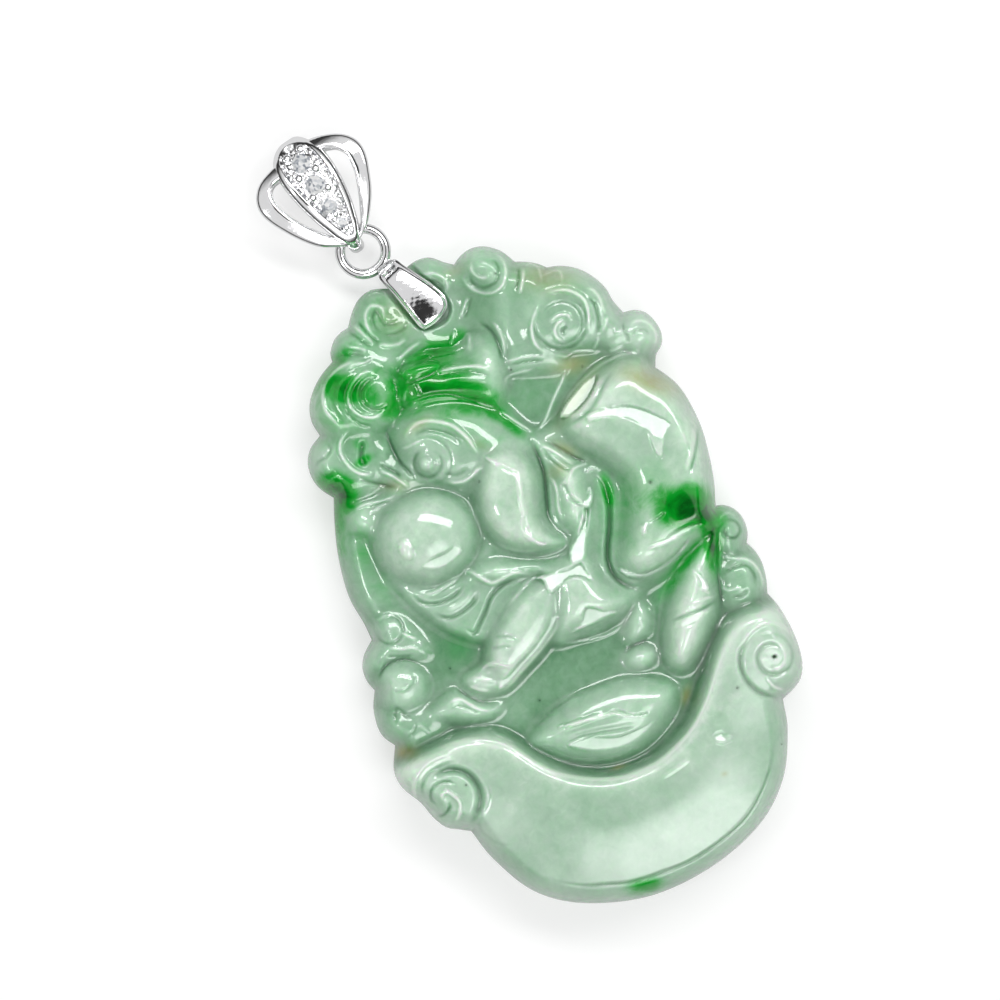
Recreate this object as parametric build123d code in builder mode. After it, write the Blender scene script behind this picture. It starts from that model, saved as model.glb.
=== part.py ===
from build123d import *
import os
from math import ceil, cos, radians, sin, sqrt
from scipy.spatial import Delaunay

# Jade pig pendant, lying on its flat back. Millimetres.
# Origin on the flat back, +Y along the carving towards the bail, +Z out of the carved face.

# Jade carving
jade_width = 31.1
jade_length = 49.8
jade_thick = 9.0
hole_diameter = 2.3
facet = 0.8

# The carving is drawn on a chart, in squares: places and spans below are shares of its size
chart_across = 31.1
chart_along = 49.8

# Heights on the carving, as shares of its thickness
wall_top = 0.30
ground = 0.42
ground_dome = 0.10
edge_round = 2.6
back_bevel = 0.035

# Pinch bail: a folded clip through the hole, with a soldered ring
tongue_length = 5.4
tongue_width = 2.5
tongue_root = 1.45
tongue_lean = 21.6
tongue_thick = 0.85
rear_thick = 0.55
bridge_thick = 0.95
pin_diameter = 0.9
pin_length = 1.1
ring_diameter = 4.1
ring_wire = 0.66
solder_overlap = 0.16
ring_drop = 0.15
jade_clear = 0.25
dish_margin = 0.6
clip_round = 1.2
clip_inner_round = 0.6

# Tulip bail: an openwork loop that hangs on the ring
bail_length = 9.75
bail_width = 8.9
bail_height = 5.5
bail_lean = 10.4
bail_wall = 0.85
strap_width = 2.6
throat_width = 1.15
tray_depth = 0.38
bead_diameter = 0.42
stone_clear = 0.09
stone_sink = 0.6
stone_table = 0.58
stone_crown = 0.15
stone_girdle = 0.04
stone_pavilion = 0.38

# Where the hole, the clip and the bail stand, in chart squares
HOLE_AT = (-0.15, 20.9)
CLIP_AT = (-2.2, 25.4)
BAIL_AT = (-3.7, 28.4)

# The silhouette: each lobe starts in a notch and goes round its crown to the next notch
# lobe, notch, points round the crown
LOBES = [
    ("top centre", (-2.4, 24.0), [(-1.7, 24.6), (-0.9, 25.1), (0.1, 25.3), (1.0, 25.1), (1.8, 24.4)]),
    ("top right", (2.4, 23.95), [(3.1, 24.35), (4.0, 24.55), (5.0, 24.3), (5.9, 23.6), (6.35, 22.9)]),
    ("small right", (6.6, 22.4), [(7.4, 22.05), (8.1, 21.6)]),
    ("right cloud", (8.6, 21.1), [(9.6, 20.8), (10.7, 20.1), (11.5, 19.1), (12.0, 18.0), (12.15, 16.9)]),
    ("low right cloud", (12.5, 15.85), [
        (13.3, 15.7), (14.0, 15.2), (14.4, 14.3), (14.5, 13.4), (14.2, 12.6), (13.5, 12.0)]),
    ("rump", (13.1, 11.2), [(13.6, 10.4), (14.1, 9.4), (14.4, 8.0), (14.5, 6.0), (14.3, 4.2), (13.85, 2.0)]),
    ("right curl", (13.2, 0.1), [(13.8, -0.1), (14.4, -0.7), (14.7, -1.6), (14.6, -2.6)]),
    ("right ball", (14.25, -3.3), [(14.6, -4.2), (14.7, -5.2), (14.5, -6.4)]),
    ("right scroll", (14.2, -7.3), [
        (14.6, -8.6), (14.8, -10.2), (14.8, -11.6), (14.55, -13.0), (14.0, -14.0), (13.2, -14.5)]),
    ("keel", (12.2, -14.9), [
        (11.6, -17.2), (9.9, -20.3), (7.0, -22.7), (2.5, -24.2),
        (-2.5, -24.4), (-7.2, -22.95), (-10.2, -20.7), (-12.0, -17.4)]),
    ("left scroll", (-12.7, -14.9), [
        (-13.5, -14.4), (-14.3, -13.9), (-14.9, -12.8), (-15.3, -11.5), (-16.1, -10.0), (-16.2, -8.6)]),
    ("left ball", (-15.4, -6.9), [(-15.9, -6.1), (-16.05, -5.2), (-15.8, -3.8)]),
    ("left curl", (-15.2, -2.6), [(-15.45, -1.8), (-15.4, -0.8), (-14.9, 0.1)]),
    ("left rim", (-13.95, 0.9), [(-14.0, 2.2), (-14.25, 4.2), (-14.1, 6.0), (-13.7, 8.0), (-13.1, 9.9)]),
    ("left plume", (-12.45, 11.6), [(-13.1, 12.6), (-13.35, 13.6), (-13.2, 14.7), (-12.6, 15.6)]),
    ("left cloud", (-11.6, 16.2), [(-11.75, 17.4), (-11.4, 18.6), (-10.6, 19.6), (-9.7, 20.3)]),
    ("small left", (-8.65, 20.85), [(-8.5, 21.5), (-7.9, 22.25), (-7.2, 22.6)]),
    ("top left", (-6.6, 22.7), [(-5.9, 23.6), (-5.1, 24.3), (-4.1, 24.6), (-3.2, 24.4)]),
]

# Raised forms, each an ellipse dome on the ground
# form, x, y, half_across, half_along, turn, level, flatness (2 a round dome, more a flatter top)
FORMS = [
    ("rump", 9.7, 4.9, 5.0, 8.3, -12, 1.00, 2.6),
    ("body", 3.3, 3.4, 3.1, 6.6, -6, 0.87, 2.4),
    ("belly", 1.6, -1.6, 5.2, 3.6, -4, 0.82, 2.6),
    ("head", -2.3, 11.4, 4.7, 4.7, -20, 0.85, 2.6),
    ("face", -5.3, 8.8, 3.0, 3.4, 30, 0.80, 2.6),
    ("snout", -6.8, 6.2, 3.7, 3.3, 0, 0.93, 4.5),
    ("ear", -0.5, 6.2, 2.4, 4.6, -4, 0.97, 3.0),
    ("chest", -4.0, 1.4, 5.4, 2.6, -14, 0.74, 3.0),
    ("jaw", -8.0, 1.6, 2.2, 2.2, 30, 0.62, 2.6),
    ("foreleg", -3.1, -2.5, 4.3, 2.4, 34, 0.88, 2.8),
    ("fetlock", -7.2, -4.9, 1.8, 1.1, 12, 0.74, 2.6),
    ("front hoof", -9.7, -6.1, 3.1, 1.3, 14, 0.72, 3.0),
    ("hind leg", 8.6, -5.5, 2.5, 5.4, -32, 0.90, 3.0),
    ("far hind leg", 4.3, -5.1, 1.5, 2.2, 0, 0.68, 2.6),
    ("far hoof", 3.8, -7.9, 1.4, 1.0, 0, 0.64, 2.6),
    ("mound", -0.5, -11.2, 6.1, 2.9, -3, 0.78, 3.0),
    ("left scroll", -13.0, -11.3, 2.7, 3.1, 0, 0.84, 3.2),
    ("right scroll", 12.2, -11.4, 2.8, 3.2, 0, 0.88, 3.2),
    ("left curl", -12.3, -0.4, 2.4, 2.5, 0, 0.66, 2.6),
    ("left ball", -13.1, -3.0, 2.2, 1.9, 0, 0.62, 2.6),
    ("left low ball", -13.9, -5.7, 2.3, 1.8, 0, 0.58, 2.6),
    ("right curl", 13.0, -1.9, 1.7, 1.8, 0, 0.60, 2.6),
    ("right ball", 12.9, -5.4, 1.8, 1.9, 0, 0.60, 2.6),
    ("left rim", -12.6, 5.4, 1.7, 5.4, 4, 0.52, 2.6),
    ("teardrop", -10.2, 9.3, 2.4, 1.2, 12, 0.66, 2.6),
    ("mane curl", -10.2, 13.7, 1.9, 2.2, 0, 0.68, 2.6),
    ("mane bump", -8.2, 13.2, 1.1, 1.3, 0, 0.68, 2.4),
    ("plume", -7.8, 11.1, 1.6, 0.9, -45, 0.70, 2.4),
    ("left plume", -12.0, 14.0, 1.4, 1.9, 0, 0.60, 2.6),
    ("left cloud", -8.4, 17.7, 3.5, 3.2, 0, 0.70, 3.2),
    ("cloud heart", -6.5, 17.4, 1.7, 1.6, 0, 0.80, 2.6),
    ("small left", -7.2, 21.4, 1.5, 1.5, 0, 0.60, 2.6),
    ("top left", -4.1, 22.2, 2.6, 2.4, 0, 0.66, 3.2),
    ("top centre", 0.4, 22.8, 2.2, 2.5, 0, 0.60, 3.2),
    ("top right", 4.3, 22.2, 2.4, 2.4, 0, 0.64, 3.2),
    ("small right", 7.4, 20.7, 1.5, 1.5, 0, 0.58, 2.6),
    ("right cloud", 8.3, 17.2, 4.0, 3.7, 0, 0.68, 3.4),
    ("low right cloud", 12.4, 14.0, 2.1, 2.0, 0, 0.62, 3.0),
    ("crest", -0.7, 16.2, 3.5, 2.9, -10, 0.80, 2.6),
    ("coin bed", 4.2, 12.7, 3.4, 3.0, -14, 0.47, 6.0),
]

# The ingot fills the foot of the carving, up to this sagging edge
# x, y
INGOT_EDGE = [
    (-15.2, -8.1), (-11.0, -7.9), (-8.0, -9.0), (-5.6, -12.0), (-2.6, -14.4), (0.4, -15.0),
    (3.4, -14.4), (6.0, -12.6), (8.4, -9.8), (10.4, -8.1), (15.0, -8.2),
]
ingot_level = 0.92
ingot_shoulder = 2.2

# Channels cut between the forms
# channel, points along it, half_width, depth (share of the thickness)
CHANNELS = [
    ("thigh", [(6.4, 8.4), (6.0, 4.6), (5.2, 1.6), (4.3, -1.0), (5.4, -2.9), (8.6, -2.8)], 0.9, 0.20),
    ("ear", [(-3.6, 8.4), (-3.6, 4.6), (-1.2, 1.9), (1.6, 1.7)], 0.8, 0.16),
    ("ear back", [(1.6, 10.6), (2.7, 8.0), (1.8, 4.4)], 0.7, 0.14),
    ("snout", [(-9.6, 9.3), (-6.6, 10.2), (-3.4, 8.6)], 0.7, 0.12),
    ("under snout", [(-10.3, 3.4), (-6.8, 2.6), (-3.6, 3.6)], 0.7, 0.16),
    ("foreleg", [(-7.2, -3.2), (-4.8, -0.9), (-0.9, 0.9)], 0.7, 0.14),
    ("hind hoof", [(6.4, -6.4), (10.6, -6.2)], 0.5, 0.09),
]


def across(squares):
    return squares * jade_width / chart_across


def along(squares):
    return squares * jade_length / chart_along


def placed(point, height=0.0):
    return Vector(across(point[0]), along(point[1]), height)


def silhouette_points():
    """Points round the silhouette, with every notch kept."""
    points = []
    for number, (lobe, notch, crown) in enumerate(LOBES):
        next_notch = LOBES[(number + 1) % len(LOBES)][1]
        edge = Spline(*[placed(point) for point in [notch, *crown, next_notch]], mode=Mode.PRIVATE)
        steps = ceil(edge.length / facet)
        points += [edge @ (step / steps) for step in range(steps)]
    return points


def dome(point, x, y, half_across, half_along, turn, flatness):
    """How far a form stands up at a point: 1 at its crown, 0 outside it."""
    dx, dy = point[0] - x, point[1] - y
    u = dx * cos(radians(turn)) + dy * sin(radians(turn))
    v = dy * cos(radians(turn)) - dx * sin(radians(turn))
    reach = sqrt((u / half_across) ** 2 + (v / half_along) ** 2)
    return max(0.0, 1 - reach ** flatness)


def distance_to_line(point, line):
    nearest = 1e9
    for (ax, ay), (bx, by) in zip(line, line[1:]):
        dx, dy = bx - ax, by - ay
        share = ((point[0] - ax) * dx + (point[1] - ay) * dy) / (dx * dx + dy * dy)
        share = min(1.0, max(0.0, share))
        nearest = min(nearest, sqrt((point[0] - ax - share * dx) ** 2 + (point[1] - ay - share * dy) ** 2))
    return nearest


def is_inside(point, line):
    """Whether a point lies inside a closed line."""
    inside = False
    for (ax, ay), (bx, by) in zip(line, line[1:]):
        if (ay > point[1]) != (by > point[1]) and point[0] < (bx - ax) * (point[1] - ay) / (by - ay) + ax:
            inside = not inside
    return inside


def height_at(point, rim):
    """Height of the carved face at a chart place, as a share of the thickness. rim is the way to its edge."""
    x, y = point
    bed = ground + ground_dome * max(0.0, 1 - (x / 15) ** 2 - (y / 25) ** 2)
    height = bed
    for form, *ellipse, level, flatness in FORMS:
        height = max(height, bed + (level - bed) * dome(point, *ellipse, flatness))
    sag = [ey + (x - ex) * (fy - ey) / (fx - ex)
           for (ex, ey), (fx, fy) in zip(INGOT_EDGE, INGOT_EDGE[1:]) if ex <= x <= fx]
    if sag and y < sag[0]:
        under = min(1.0, distance_to_line(point, INGOT_EDGE) / ingot_shoulder)
        height = max(height, bed + (ingot_level - bed) * under * (2 - under))
    for channel, line, half_width, depth in CHANNELS:
        height -= depth * max(0.0, 1 - distance_to_line(point, line) / half_width)
    if dome(point, *clip_seat, 2) > 0:
        height = min(height, seat_level)
    rounding = min(1.0, rim / edge_round)
    return wall_top + (height - wall_top) * sqrt(1 - (1 - rounding) ** 2)


def carved_block():
    """The carving before its hole: a face of small facets, walls and a flat back."""
    outline = silhouette_points()
    count = len(outline)
    loop = [(corner.X, corner.Y) for corner in outline + outline[:1]]
    spots = loop[:-1]
    rows = ceil(jade_length / facet / 0.87)
    columns = ceil(jade_width / facet)
    for row in range(-rows, rows + 1):
        for column in range(-columns, columns + 1):
            spot = ((column + row % 2 / 2) * facet, row * facet * 0.87)
            if is_inside(spot, loop) and distance_to_line(spot, loop) > facet * 0.6:
                spots.append(spot)
    face = []
    for spot in spots:
        square = (spot[0] * chart_across / jade_width, spot[1] * chart_along / jade_length)
        rim = distance_to_line(spot, loop)
        face.append(Vector(*spot, jade_thick * height_at(square, rim)))
    triangles = []
    for a, b, c in Delaunay(spots).simplices:
        middle = (face[a] + face[b] + face[c]) / 3
        if is_inside((middle.X, middle.Y), loop):
            triangles.append((face[a], face[b], face[c]))
    bevel = 1 - back_bevel
    low = [Vector(corner.X, corner.Y, jade_thick * wall_top / 2) for corner in outline]
    base = [Vector(corner.X * bevel, corner.Y * bevel, 0) for corner in outline]
    for upper, lower in ((face, low), (low, base)):
        for i in range(count):
            j = (i + 1) % count
            triangles.append((upper[i], lower[i], lower[j]))
            triangles.append((upper[i], lower[j], upper[j]))
    faces = [Face(Wire.make_polygon(corners)) for corners in triangles]
    faces.append(Face(Wire.make_polygon(base)))
    return Solid(Shell(faces))


# The clip's tongue lies on a flat seat beside the hole, and its rear leg in a dished place behind it
clip_seat = (-0.95, 22.5, 2.0, 3.9, tongue_lean)
seat_level = 0.47
rear_dish = (rear_thick + 2 * jade_clear) / jade_thick

hole_place = placed(HOLE_AT)
clip_place = placed(CLIP_AT)
bail_place = placed(BAIL_AT)
clip_turn = radians(tongue_lean)
bail_turn = radians(bail_lean)
clip_plane = Plane(origin=clip_place, x_dir=(cos(clip_turn), sin(clip_turn), 0), z_dir=(0, 0, 1))
bail_plane = Plane(origin=bail_place, x_dir=(cos(bail_turn), sin(bail_turn), 0), z_dir=(0, 0, 1))

rear_foot = 0.1
rear_top = rear_foot + rear_thick
tongue_under = jade_thick * seat_level + jade_clear
tongue_top = tongue_under + tongue_thick
clip_middle = (rear_foot + tongue_top) / 2

with BuildPart() as clip_space:
    with BuildSketch(Plane.XY.offset(-jade_thick)):
        with Locations(hole_place):
            Circle(hole_diameter / 2)
    extrude(amount=3 * jade_thick)
    with BuildSketch(clip_plane.offset(-rear_thick)):
        with Locations((tongue_width * 0.08, (tongue_length * 0.5 - tongue_length - dish_margin) / 2)):
            Rectangle(tongue_width + 4 * jade_clear, tongue_length * 1.5 + dish_margin)
    extrude(amount=rear_thick + rear_dish * jade_thick)

with BuildPart() as jade_carving:
    add(carved_block())
    add(clip_space.part, mode=Mode.SUBTRACT, clean=False)

jade_carving.part.label = "jade_carving"

# Tongue seen from the front, on its own axis: down from the bridge, wider to its foot
half_root = tongue_root / 2
half_foot = tongue_width / 2
with BuildPart() as pinch_bail:
    with BuildSketch(clip_plane) as tongue_outline:
        with BuildLine():
            Polyline((-half_root, bridge_thick / 2), (half_root, bridge_thick / 2))
            Spline(
                (half_root, bridge_thick / 2), (half_foot * 0.88, -tongue_length * 0.22),
                (half_foot * 1.14, -tongue_length * 0.52), (half_foot * 1.24, -tongue_length * 0.76),
                (half_foot * 1.0, -tongue_length * 0.94), (half_foot * 0.05, -tongue_length),
                (-half_foot * 0.88, -tongue_length * 0.95),
            )
            Line((-half_foot * 0.88, -tongue_length * 0.95), (-half_root, bridge_thick / 2))
        make_face()
    extrude(amount=tongue_top)
    side_plane = Plane(origin=clip_place, x_dir=clip_plane.y_dir, z_dir=clip_plane.x_dir)
    with BuildSketch(side_plane):
        with Locations((-tongue_length / 2 + bridge_thick / 4, clip_middle)):
            RectangleRounded(tongue_length + bridge_thick * 2, tongue_top - rear_foot, clip_round)
        with Locations((-tongue_length - bridge_thick / 2, (rear_top + tongue_under) / 2)):
            RectangleRounded(tongue_length * 2, tongue_under - rear_top, clip_inner_round, mode=Mode.SUBTRACT)
    extrude(amount=tongue_width, both=True, mode=Mode.INTERSECT)
    with BuildSketch(Plane.XY.offset(tongue_under - pin_length)):
        with Locations(hole_place):
            Circle(pin_diameter / 2)
    extrude(amount=pin_length + tongue_thick / 2)
    with BuildSketch(Plane.XY.offset(rear_foot)):
        with Locations(hole_place):
            Circle(pin_diameter / 2)
    extrude(amount=pin_length + rear_thick)
    ring_reach = (ring_diameter - ring_wire) / 2
    ring_rise = bridge_thick / 2 + ring_diameter / 2 - solder_overlap
    ring_lean = radians(tongue_lean + 8)
    ring_at = clip_place + Vector(-sin(ring_lean), cos(ring_lean)) * ring_rise
    ring_at.Z = clip_middle - ring_drop
    with BuildLine(Plane(origin=ring_at)):
        ring_line = CenterArc((0, 0), ring_reach, 0, 360)
    with BuildSketch(Plane(origin=ring_line @ 0, z_dir=ring_line % 0)):
        Circle(ring_wire / 2)
    sweep(path=ring_line)

pinch_bail.part.label = "pinch_bail"

# Tulip bail from the side: its hoop, as shares of length and height, from the floor round the throat
# share along, share of the height
throat_reach = 0.09
HOOP = [
    (0.22, 0.05), (0.09, 0.17), (0.015, 0.33), (0.0, 0.49), (0.025, 0.66), (0.10, 0.80),
    (0.22, 0.87), (0.36, 0.94), (0.52, 0.99), (0.70, 0.99), (0.86, 0.88), (0.96, 0.68),
    (1.0, 0.45), (0.96, 0.20), (0.87, 0.05),
]
# Central petal from the front, as shares of the bail's length and width from its throat
# share across, share along
PETAL = [
    (-0.07, 0.10), (-0.13, 0.20), (-0.19, 0.38), (-0.235, 0.60), (-0.24, 0.78), (-0.21, 0.90), (-0.14, 0.97),
    (-0.04, 1.0), (0.06, 0.985), (0.145, 0.93), (0.195, 0.84), (0.215, 0.70), (0.21, 0.54), (0.18, 0.36),
    (0.13, 0.20), (0.075, 0.10),
]
# Side petals: outer and inner line, from the throat to the head
LEFT_OUTER = [
    (-0.05, 0.08), (-0.16, 0.12), (-0.30, 0.22), (-0.42, 0.40), (-0.50, 0.59), (-0.505, 0.72), (-0.45, 0.81),
    (-0.36, 0.865), (-0.20, 0.88),
]
LEFT_INNER = [
    (-0.10, 0.14), (-0.22, 0.27), (-0.33, 0.44), (-0.39, 0.62), (-0.385, 0.74), (-0.32, 0.79), (-0.20, 0.80),
]
RIGHT_OUTER = [
    (0.05, 0.08), (0.20, 0.155), (0.33, 0.29), (0.43, 0.46), (0.48, 0.60), (0.47, 0.72), (0.39, 0.82),
    (0.24, 0.89),
]
RIGHT_INNER = [(0.13, 0.14), (0.25, 0.30), (0.34, 0.50), (0.37, 0.66), (0.33, 0.76), (0.22, 0.80)]
# Tray sunk in the central petal
TRAY = [
    (-0.01, 0.12), (-0.06, 0.24), (-0.105, 0.38), (-0.15, 0.55), (-0.165, 0.75), (-0.15, 0.87),
    (-0.09, 0.935), (-0.01, 0.955), (0.07, 0.93), (0.125, 0.86), (0.15, 0.75), (0.15, 0.60),
    (0.12, 0.42), (0.08, 0.26), (0.045, 0.12),
]
# Stones set down the tray: across, along, diameter as a share of the bail's width
STONES = [
    (-0.01, 0.78, 0.17),
    (-0.01, 0.59, 0.17),
    (-0.005, 0.405, 0.14),
    (0.005, 0.245, 0.09),
]
# Beads that hold them: across, along
BEADS = [
    (-0.08, 0.875), (0.05, 0.88), (-0.085, 0.685), (0.06, 0.685), (-0.075, 0.495), (0.06, 0.495),
    (-0.005, 0.32), (0.01, 0.18),
]


def on_bail(share):
    """A place on the bail from shares of its width and length, measured from its throat."""
    return (share[0] * bail_width, share[1] * bail_length - throat_reach * bail_length)


hoop_points = [((share_along - throat_reach) * bail_length, rise * bail_height) for share_along, rise in HOOP]
flat_end = (hoop_points[0][0] + 0.06 * bail_length, 0)
flat_start = (hoop_points[-1][0] - 0.06 * bail_length, 0)
hoop_curve = Spline(flat_end, *hoop_points, flat_start, tangents=[(-1, 0), (-1, 0)], mode=Mode.PRIVATE)


def hoop_profile(inset):
    """The hoop from the side, drawn inside its outline by an inset."""
    steps = 2 * len(HOOP)
    outline = [hoop_curve @ (step / (6 * steps)) for step in range(6 * steps + 1)]
    points = []
    for step in range(steps + 1):
        way = hoop_curve % (step / steps)
        place = hoop_curve @ (step / steps) + Vector(way.Y, -way.X) * inset
        if min((place - spot).length for spot in outline) > inset * 0.98 - 0.001:
            points.append(place)
    with BuildSketch() as profile:
        with BuildLine():
            Spline(*points, tangents=[(-1, 0), (-1, 0)])
            Line(points[-1], points[0])
        make_face()
    return profile.sketch


def front_height(share_along):
    """Height of the hoop's front at a share of the bail's length."""
    reach = (share_along - throat_reach) * bail_length
    low, high = 0.3, 0.78
    for halving in range(30):
        middle = (low + high) / 2
        if (hoop_curve @ middle).X < reach:
            low = middle
        else:
            high = middle
    return (hoop_curve @ low).Y


bail_side = Plane(origin=bail_place, x_dir=bail_plane.y_dir, z_dir=bail_plane.x_dir)
bail_middle = bail_height * 0.47
front_plane = bail_plane.offset(bail_middle)

with BuildPart() as tray_space:
    with BuildSketch(front_plane):
        with BuildLine():
            Spline(*[on_bail(share) for share in TRAY], periodic=True)
        make_face()
    extrude(amount=bail_height)
    with BuildSketch(bail_side):
        add(hoop_profile(tray_depth))
    extrude(amount=bail_width, both=True, mode=Mode.SUBTRACT)

with BuildPart() as tulip_bail:
    throat_low = on_bail((0, 0))[1]
    throat_high = on_bail((0, 0.16))[1]
    with BuildSketch(front_plane):
        with BuildLine():
            Spline(*[on_bail(share) for share in PETAL], periodic=True)
        make_face()
        for outer, inner in ((LEFT_OUTER, LEFT_INNER), (RIGHT_OUTER, RIGHT_INNER)):
            with BuildLine():
                out_line = Spline(*[on_bail(share) for share in outer])
                in_line = Spline(*[on_bail(share) for share in inner])
                Line(out_line @ 0, in_line @ 0)
                Line(out_line @ 1, in_line @ 1)
            make_face()
        with Locations((0, (throat_low + throat_high) / 2)):
            Rectangle(throat_width, throat_high - throat_low)
    extrude(amount=bail_height)
    with BuildSketch(bail_plane):
        with Locations((0, throat_low + bail_length / 2)):
            Rectangle(strap_width, bail_length * 1.2)
        with Locations((0, throat_low)):
            Rectangle(strap_width * 2, throat_high * 2 - throat_low * 2, mode=Mode.SUBTRACT)
            Rectangle(throat_width, throat_high * 2 - throat_low * 2)
    extrude(amount=bail_middle)
    with BuildSketch(bail_side):
        add(hoop_profile(0))
        add(hoop_profile(bail_wall), mode=Mode.SUBTRACT)
    extrude(amount=bail_width, both=True, mode=Mode.INTERSECT)
    add(tray_space.part, mode=Mode.SUBTRACT)
    for stone_x, stone_y, share in STONES:
        seat_reach = share * bail_width / 2 + stone_clear
        with BuildSketch(front_plane):
            with Locations(on_bail((stone_x, stone_y))):
                Circle(seat_reach)
        extrude(amount=bail_height, mode=Mode.SUBTRACT)
    for bead_x, bead_y in BEADS:
        top = front_height(bead_y) - bead_diameter / 2
        post = tray_depth - bead_diameter / 2 + (bail_wall - tray_depth) / 2
        with BuildSketch(bail_plane.offset(top - post)):
            with Locations(on_bail((bead_x, bead_y))):
                Circle(bead_diameter * 0.42)
        extrude(amount=post)
        with Locations(bail_plane.offset(top)):
            with Locations(on_bail((bead_x, bead_y))):
                Sphere(bead_diameter / 2)

tulip_bail.part.label = "tulip_bail"


def cut_stone(place, diameter, girdle_height):
    """A round stone: eight-sided table, crown, girdle and pavilion."""
    radius = diameter / 2
    centre = bail_plane.from_local_coords(Vector(*place, girdle_height))
    girdle_plane = Plane(origin=centre, x_dir=bail_plane.x_dir, z_dir=bail_plane.z_dir)
    with BuildPart() as stone:
        with BuildSketch(girdle_plane.offset(-stone_girdle * diameter)):
            RegularPolygon(radius, 8)
        extrude(amount=stone_girdle * diameter)
        with BuildSketch(girdle_plane):
            RegularPolygon(radius, 8)
        with BuildSketch(girdle_plane.offset(stone_crown * diameter)):
            RegularPolygon(radius * stone_table, 8)
        loft(ruled=True)
        with BuildSketch(girdle_plane.offset(-stone_girdle * diameter)):
            RegularPolygon(radius, 8)
        with BuildSketch(girdle_plane.offset(-(stone_girdle + stone_pavilion) * diameter)):
            RegularPolygon(radius * 0.08, 8)
        loft(ruled=True)
    return stone.part


os.makedirs("parts", exist_ok=True)
for piece in (jade_carving, pinch_bail, tulip_bail):
    export_step(piece.part, f"parts/{piece.part.label}.step")
for number, (stone_x, stone_y, share) in enumerate(STONES, 1):
    girdle_height = front_height(stone_y) - stone_sink * tray_depth
    stone = cut_stone(on_bail((stone_x, stone_y)), share * bail_width, girdle_height)
    stone.label = f"pave_stone_{number}"
    export_step(stone, f"parts/{stone.label}.step")
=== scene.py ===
# %% [markdown]
# A jade pendant seen from straight above. It is one carved stone, a folded silver clip through
# a hole near its top, and an openwork silver bail that a chain runs through. The shapes and sizes
# come from a packed CAD model, and this script dresses it. Everything is in metres in the CAD
# frame, but the tables below are in millimetres, because that is how a carver would measure.

# %% Load the frame
import math

import bmesh
import bpy
import numpy as np
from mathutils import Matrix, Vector
from mathutils.geometry import delaunay_2d_cdt


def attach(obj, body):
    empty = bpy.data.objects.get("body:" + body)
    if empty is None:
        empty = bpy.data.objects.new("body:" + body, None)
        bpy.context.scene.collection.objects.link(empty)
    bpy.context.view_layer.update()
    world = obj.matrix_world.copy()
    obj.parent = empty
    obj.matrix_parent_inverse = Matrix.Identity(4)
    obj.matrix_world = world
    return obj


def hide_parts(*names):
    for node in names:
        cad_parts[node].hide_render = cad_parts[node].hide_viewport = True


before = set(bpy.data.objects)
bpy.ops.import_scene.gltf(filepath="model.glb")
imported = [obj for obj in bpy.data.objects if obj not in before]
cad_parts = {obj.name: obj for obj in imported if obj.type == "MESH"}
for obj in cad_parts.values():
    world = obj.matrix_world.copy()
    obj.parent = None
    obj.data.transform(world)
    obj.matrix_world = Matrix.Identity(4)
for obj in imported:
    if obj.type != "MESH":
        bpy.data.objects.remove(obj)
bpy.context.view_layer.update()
MM = 0.001
print("nodes:", sorted(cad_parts))

# %% [markdown]
# The camera looks straight down, as the photographer did. The pendant lies a little turned in the
# picture, so the camera is rolled, not the pendant. A long lens keeps the deep relief from leaning
# outwards, and its focal length follows from the width that the picture shows.

# %% Camera
LOOK_AT = (-1.24, 6.68, 2.7)
VIEW_WIDTH = 73.53
CAMERA_HEIGHT = 450.0
PICTURE_TURN = -23.0
SENSOR = 36.0


def add_camera():
    data = bpy.data.cameras.new("camera")
    data.sensor_width = SENSOR
    data.lens = SENSOR * CAMERA_HEIGHT / VIEW_WIDTH
    data.clip_start = 0.01
    camera = bpy.data.objects.new("camera", data)
    bpy.context.collection.objects.link(camera)
    camera.location = Vector((LOOK_AT[0], LOOK_AT[1], LOOK_AT[2] + CAMERA_HEIGHT)) * MM
    camera.rotation_euler = (0, 0, math.radians(PICTURE_TURN))
    bpy.context.scene.camera = camera
    print("lens", round(data.lens), "mm")


add_camera()

# %% [markdown]
# Every material below is a small tree of shader nodes. One helper adds a node, sets its values and
# joins its inputs, and another turns a colour as a designer writes it into the linear values that
# a renderer adds up.

# %% Helpers for materials
# Settings that several nodes share
PLUS = {"operation": "ADD"}
TIMES = {"operation": "MULTIPLY"}
SOFT_EDGE = {"interpolation_type": "SMOOTHSTEP"}


def linear(hex_colour):
    """An sRGB hex colour as linear red, green, blue and one."""
    channels = [int(hex_colour[i:i + 2], 16) / 255 for i in (1, 3, 5)]
    return (*(c / 12.92 if c <= 0.04045 else ((c + 0.055) / 1.055) ** 2.4 for c in channels), 1.0)


def add_node(tree, kind, settings=None, **inputs):
    """Add a node. Settings are its properties; inputs are values, or nodes or sockets to link."""
    node = tree.nodes.new(kind)
    for name, value in (settings or {}).items():
        setattr(node, name, value)
    for name, value in inputs.items():
        socket = node.inputs[int(name[1:]) if name[1:].isdigit() else name.replace("_", " ")]
        if isinstance(value, bpy.types.Node):
            value = value.outputs[0]
        if isinstance(value, bpy.types.NodeSocket):
            tree.links.new(value, socket)
        else:
            socket.default_value = value
    return node


def set_stops(ramp, stops):
    """Put (place, hex colour) stops on a colour ramp."""
    ends = ramp.color_ramp.elements
    while len(ends) < len(stops):
        ends.new(0.5)
    for end, (place, colour) in zip(ends, stops):
        end.position = place
        end.color = linear(colour)


def new_material(name):
    """A material whose tree of nodes is still empty."""
    material = bpy.data.materials.new(name)
    material.use_nodes = True
    material.node_tree.nodes.clear()
    return material


print("white paper is", [round(c, 3) for c in linear("#F8F8F8")[:3]])

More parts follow.
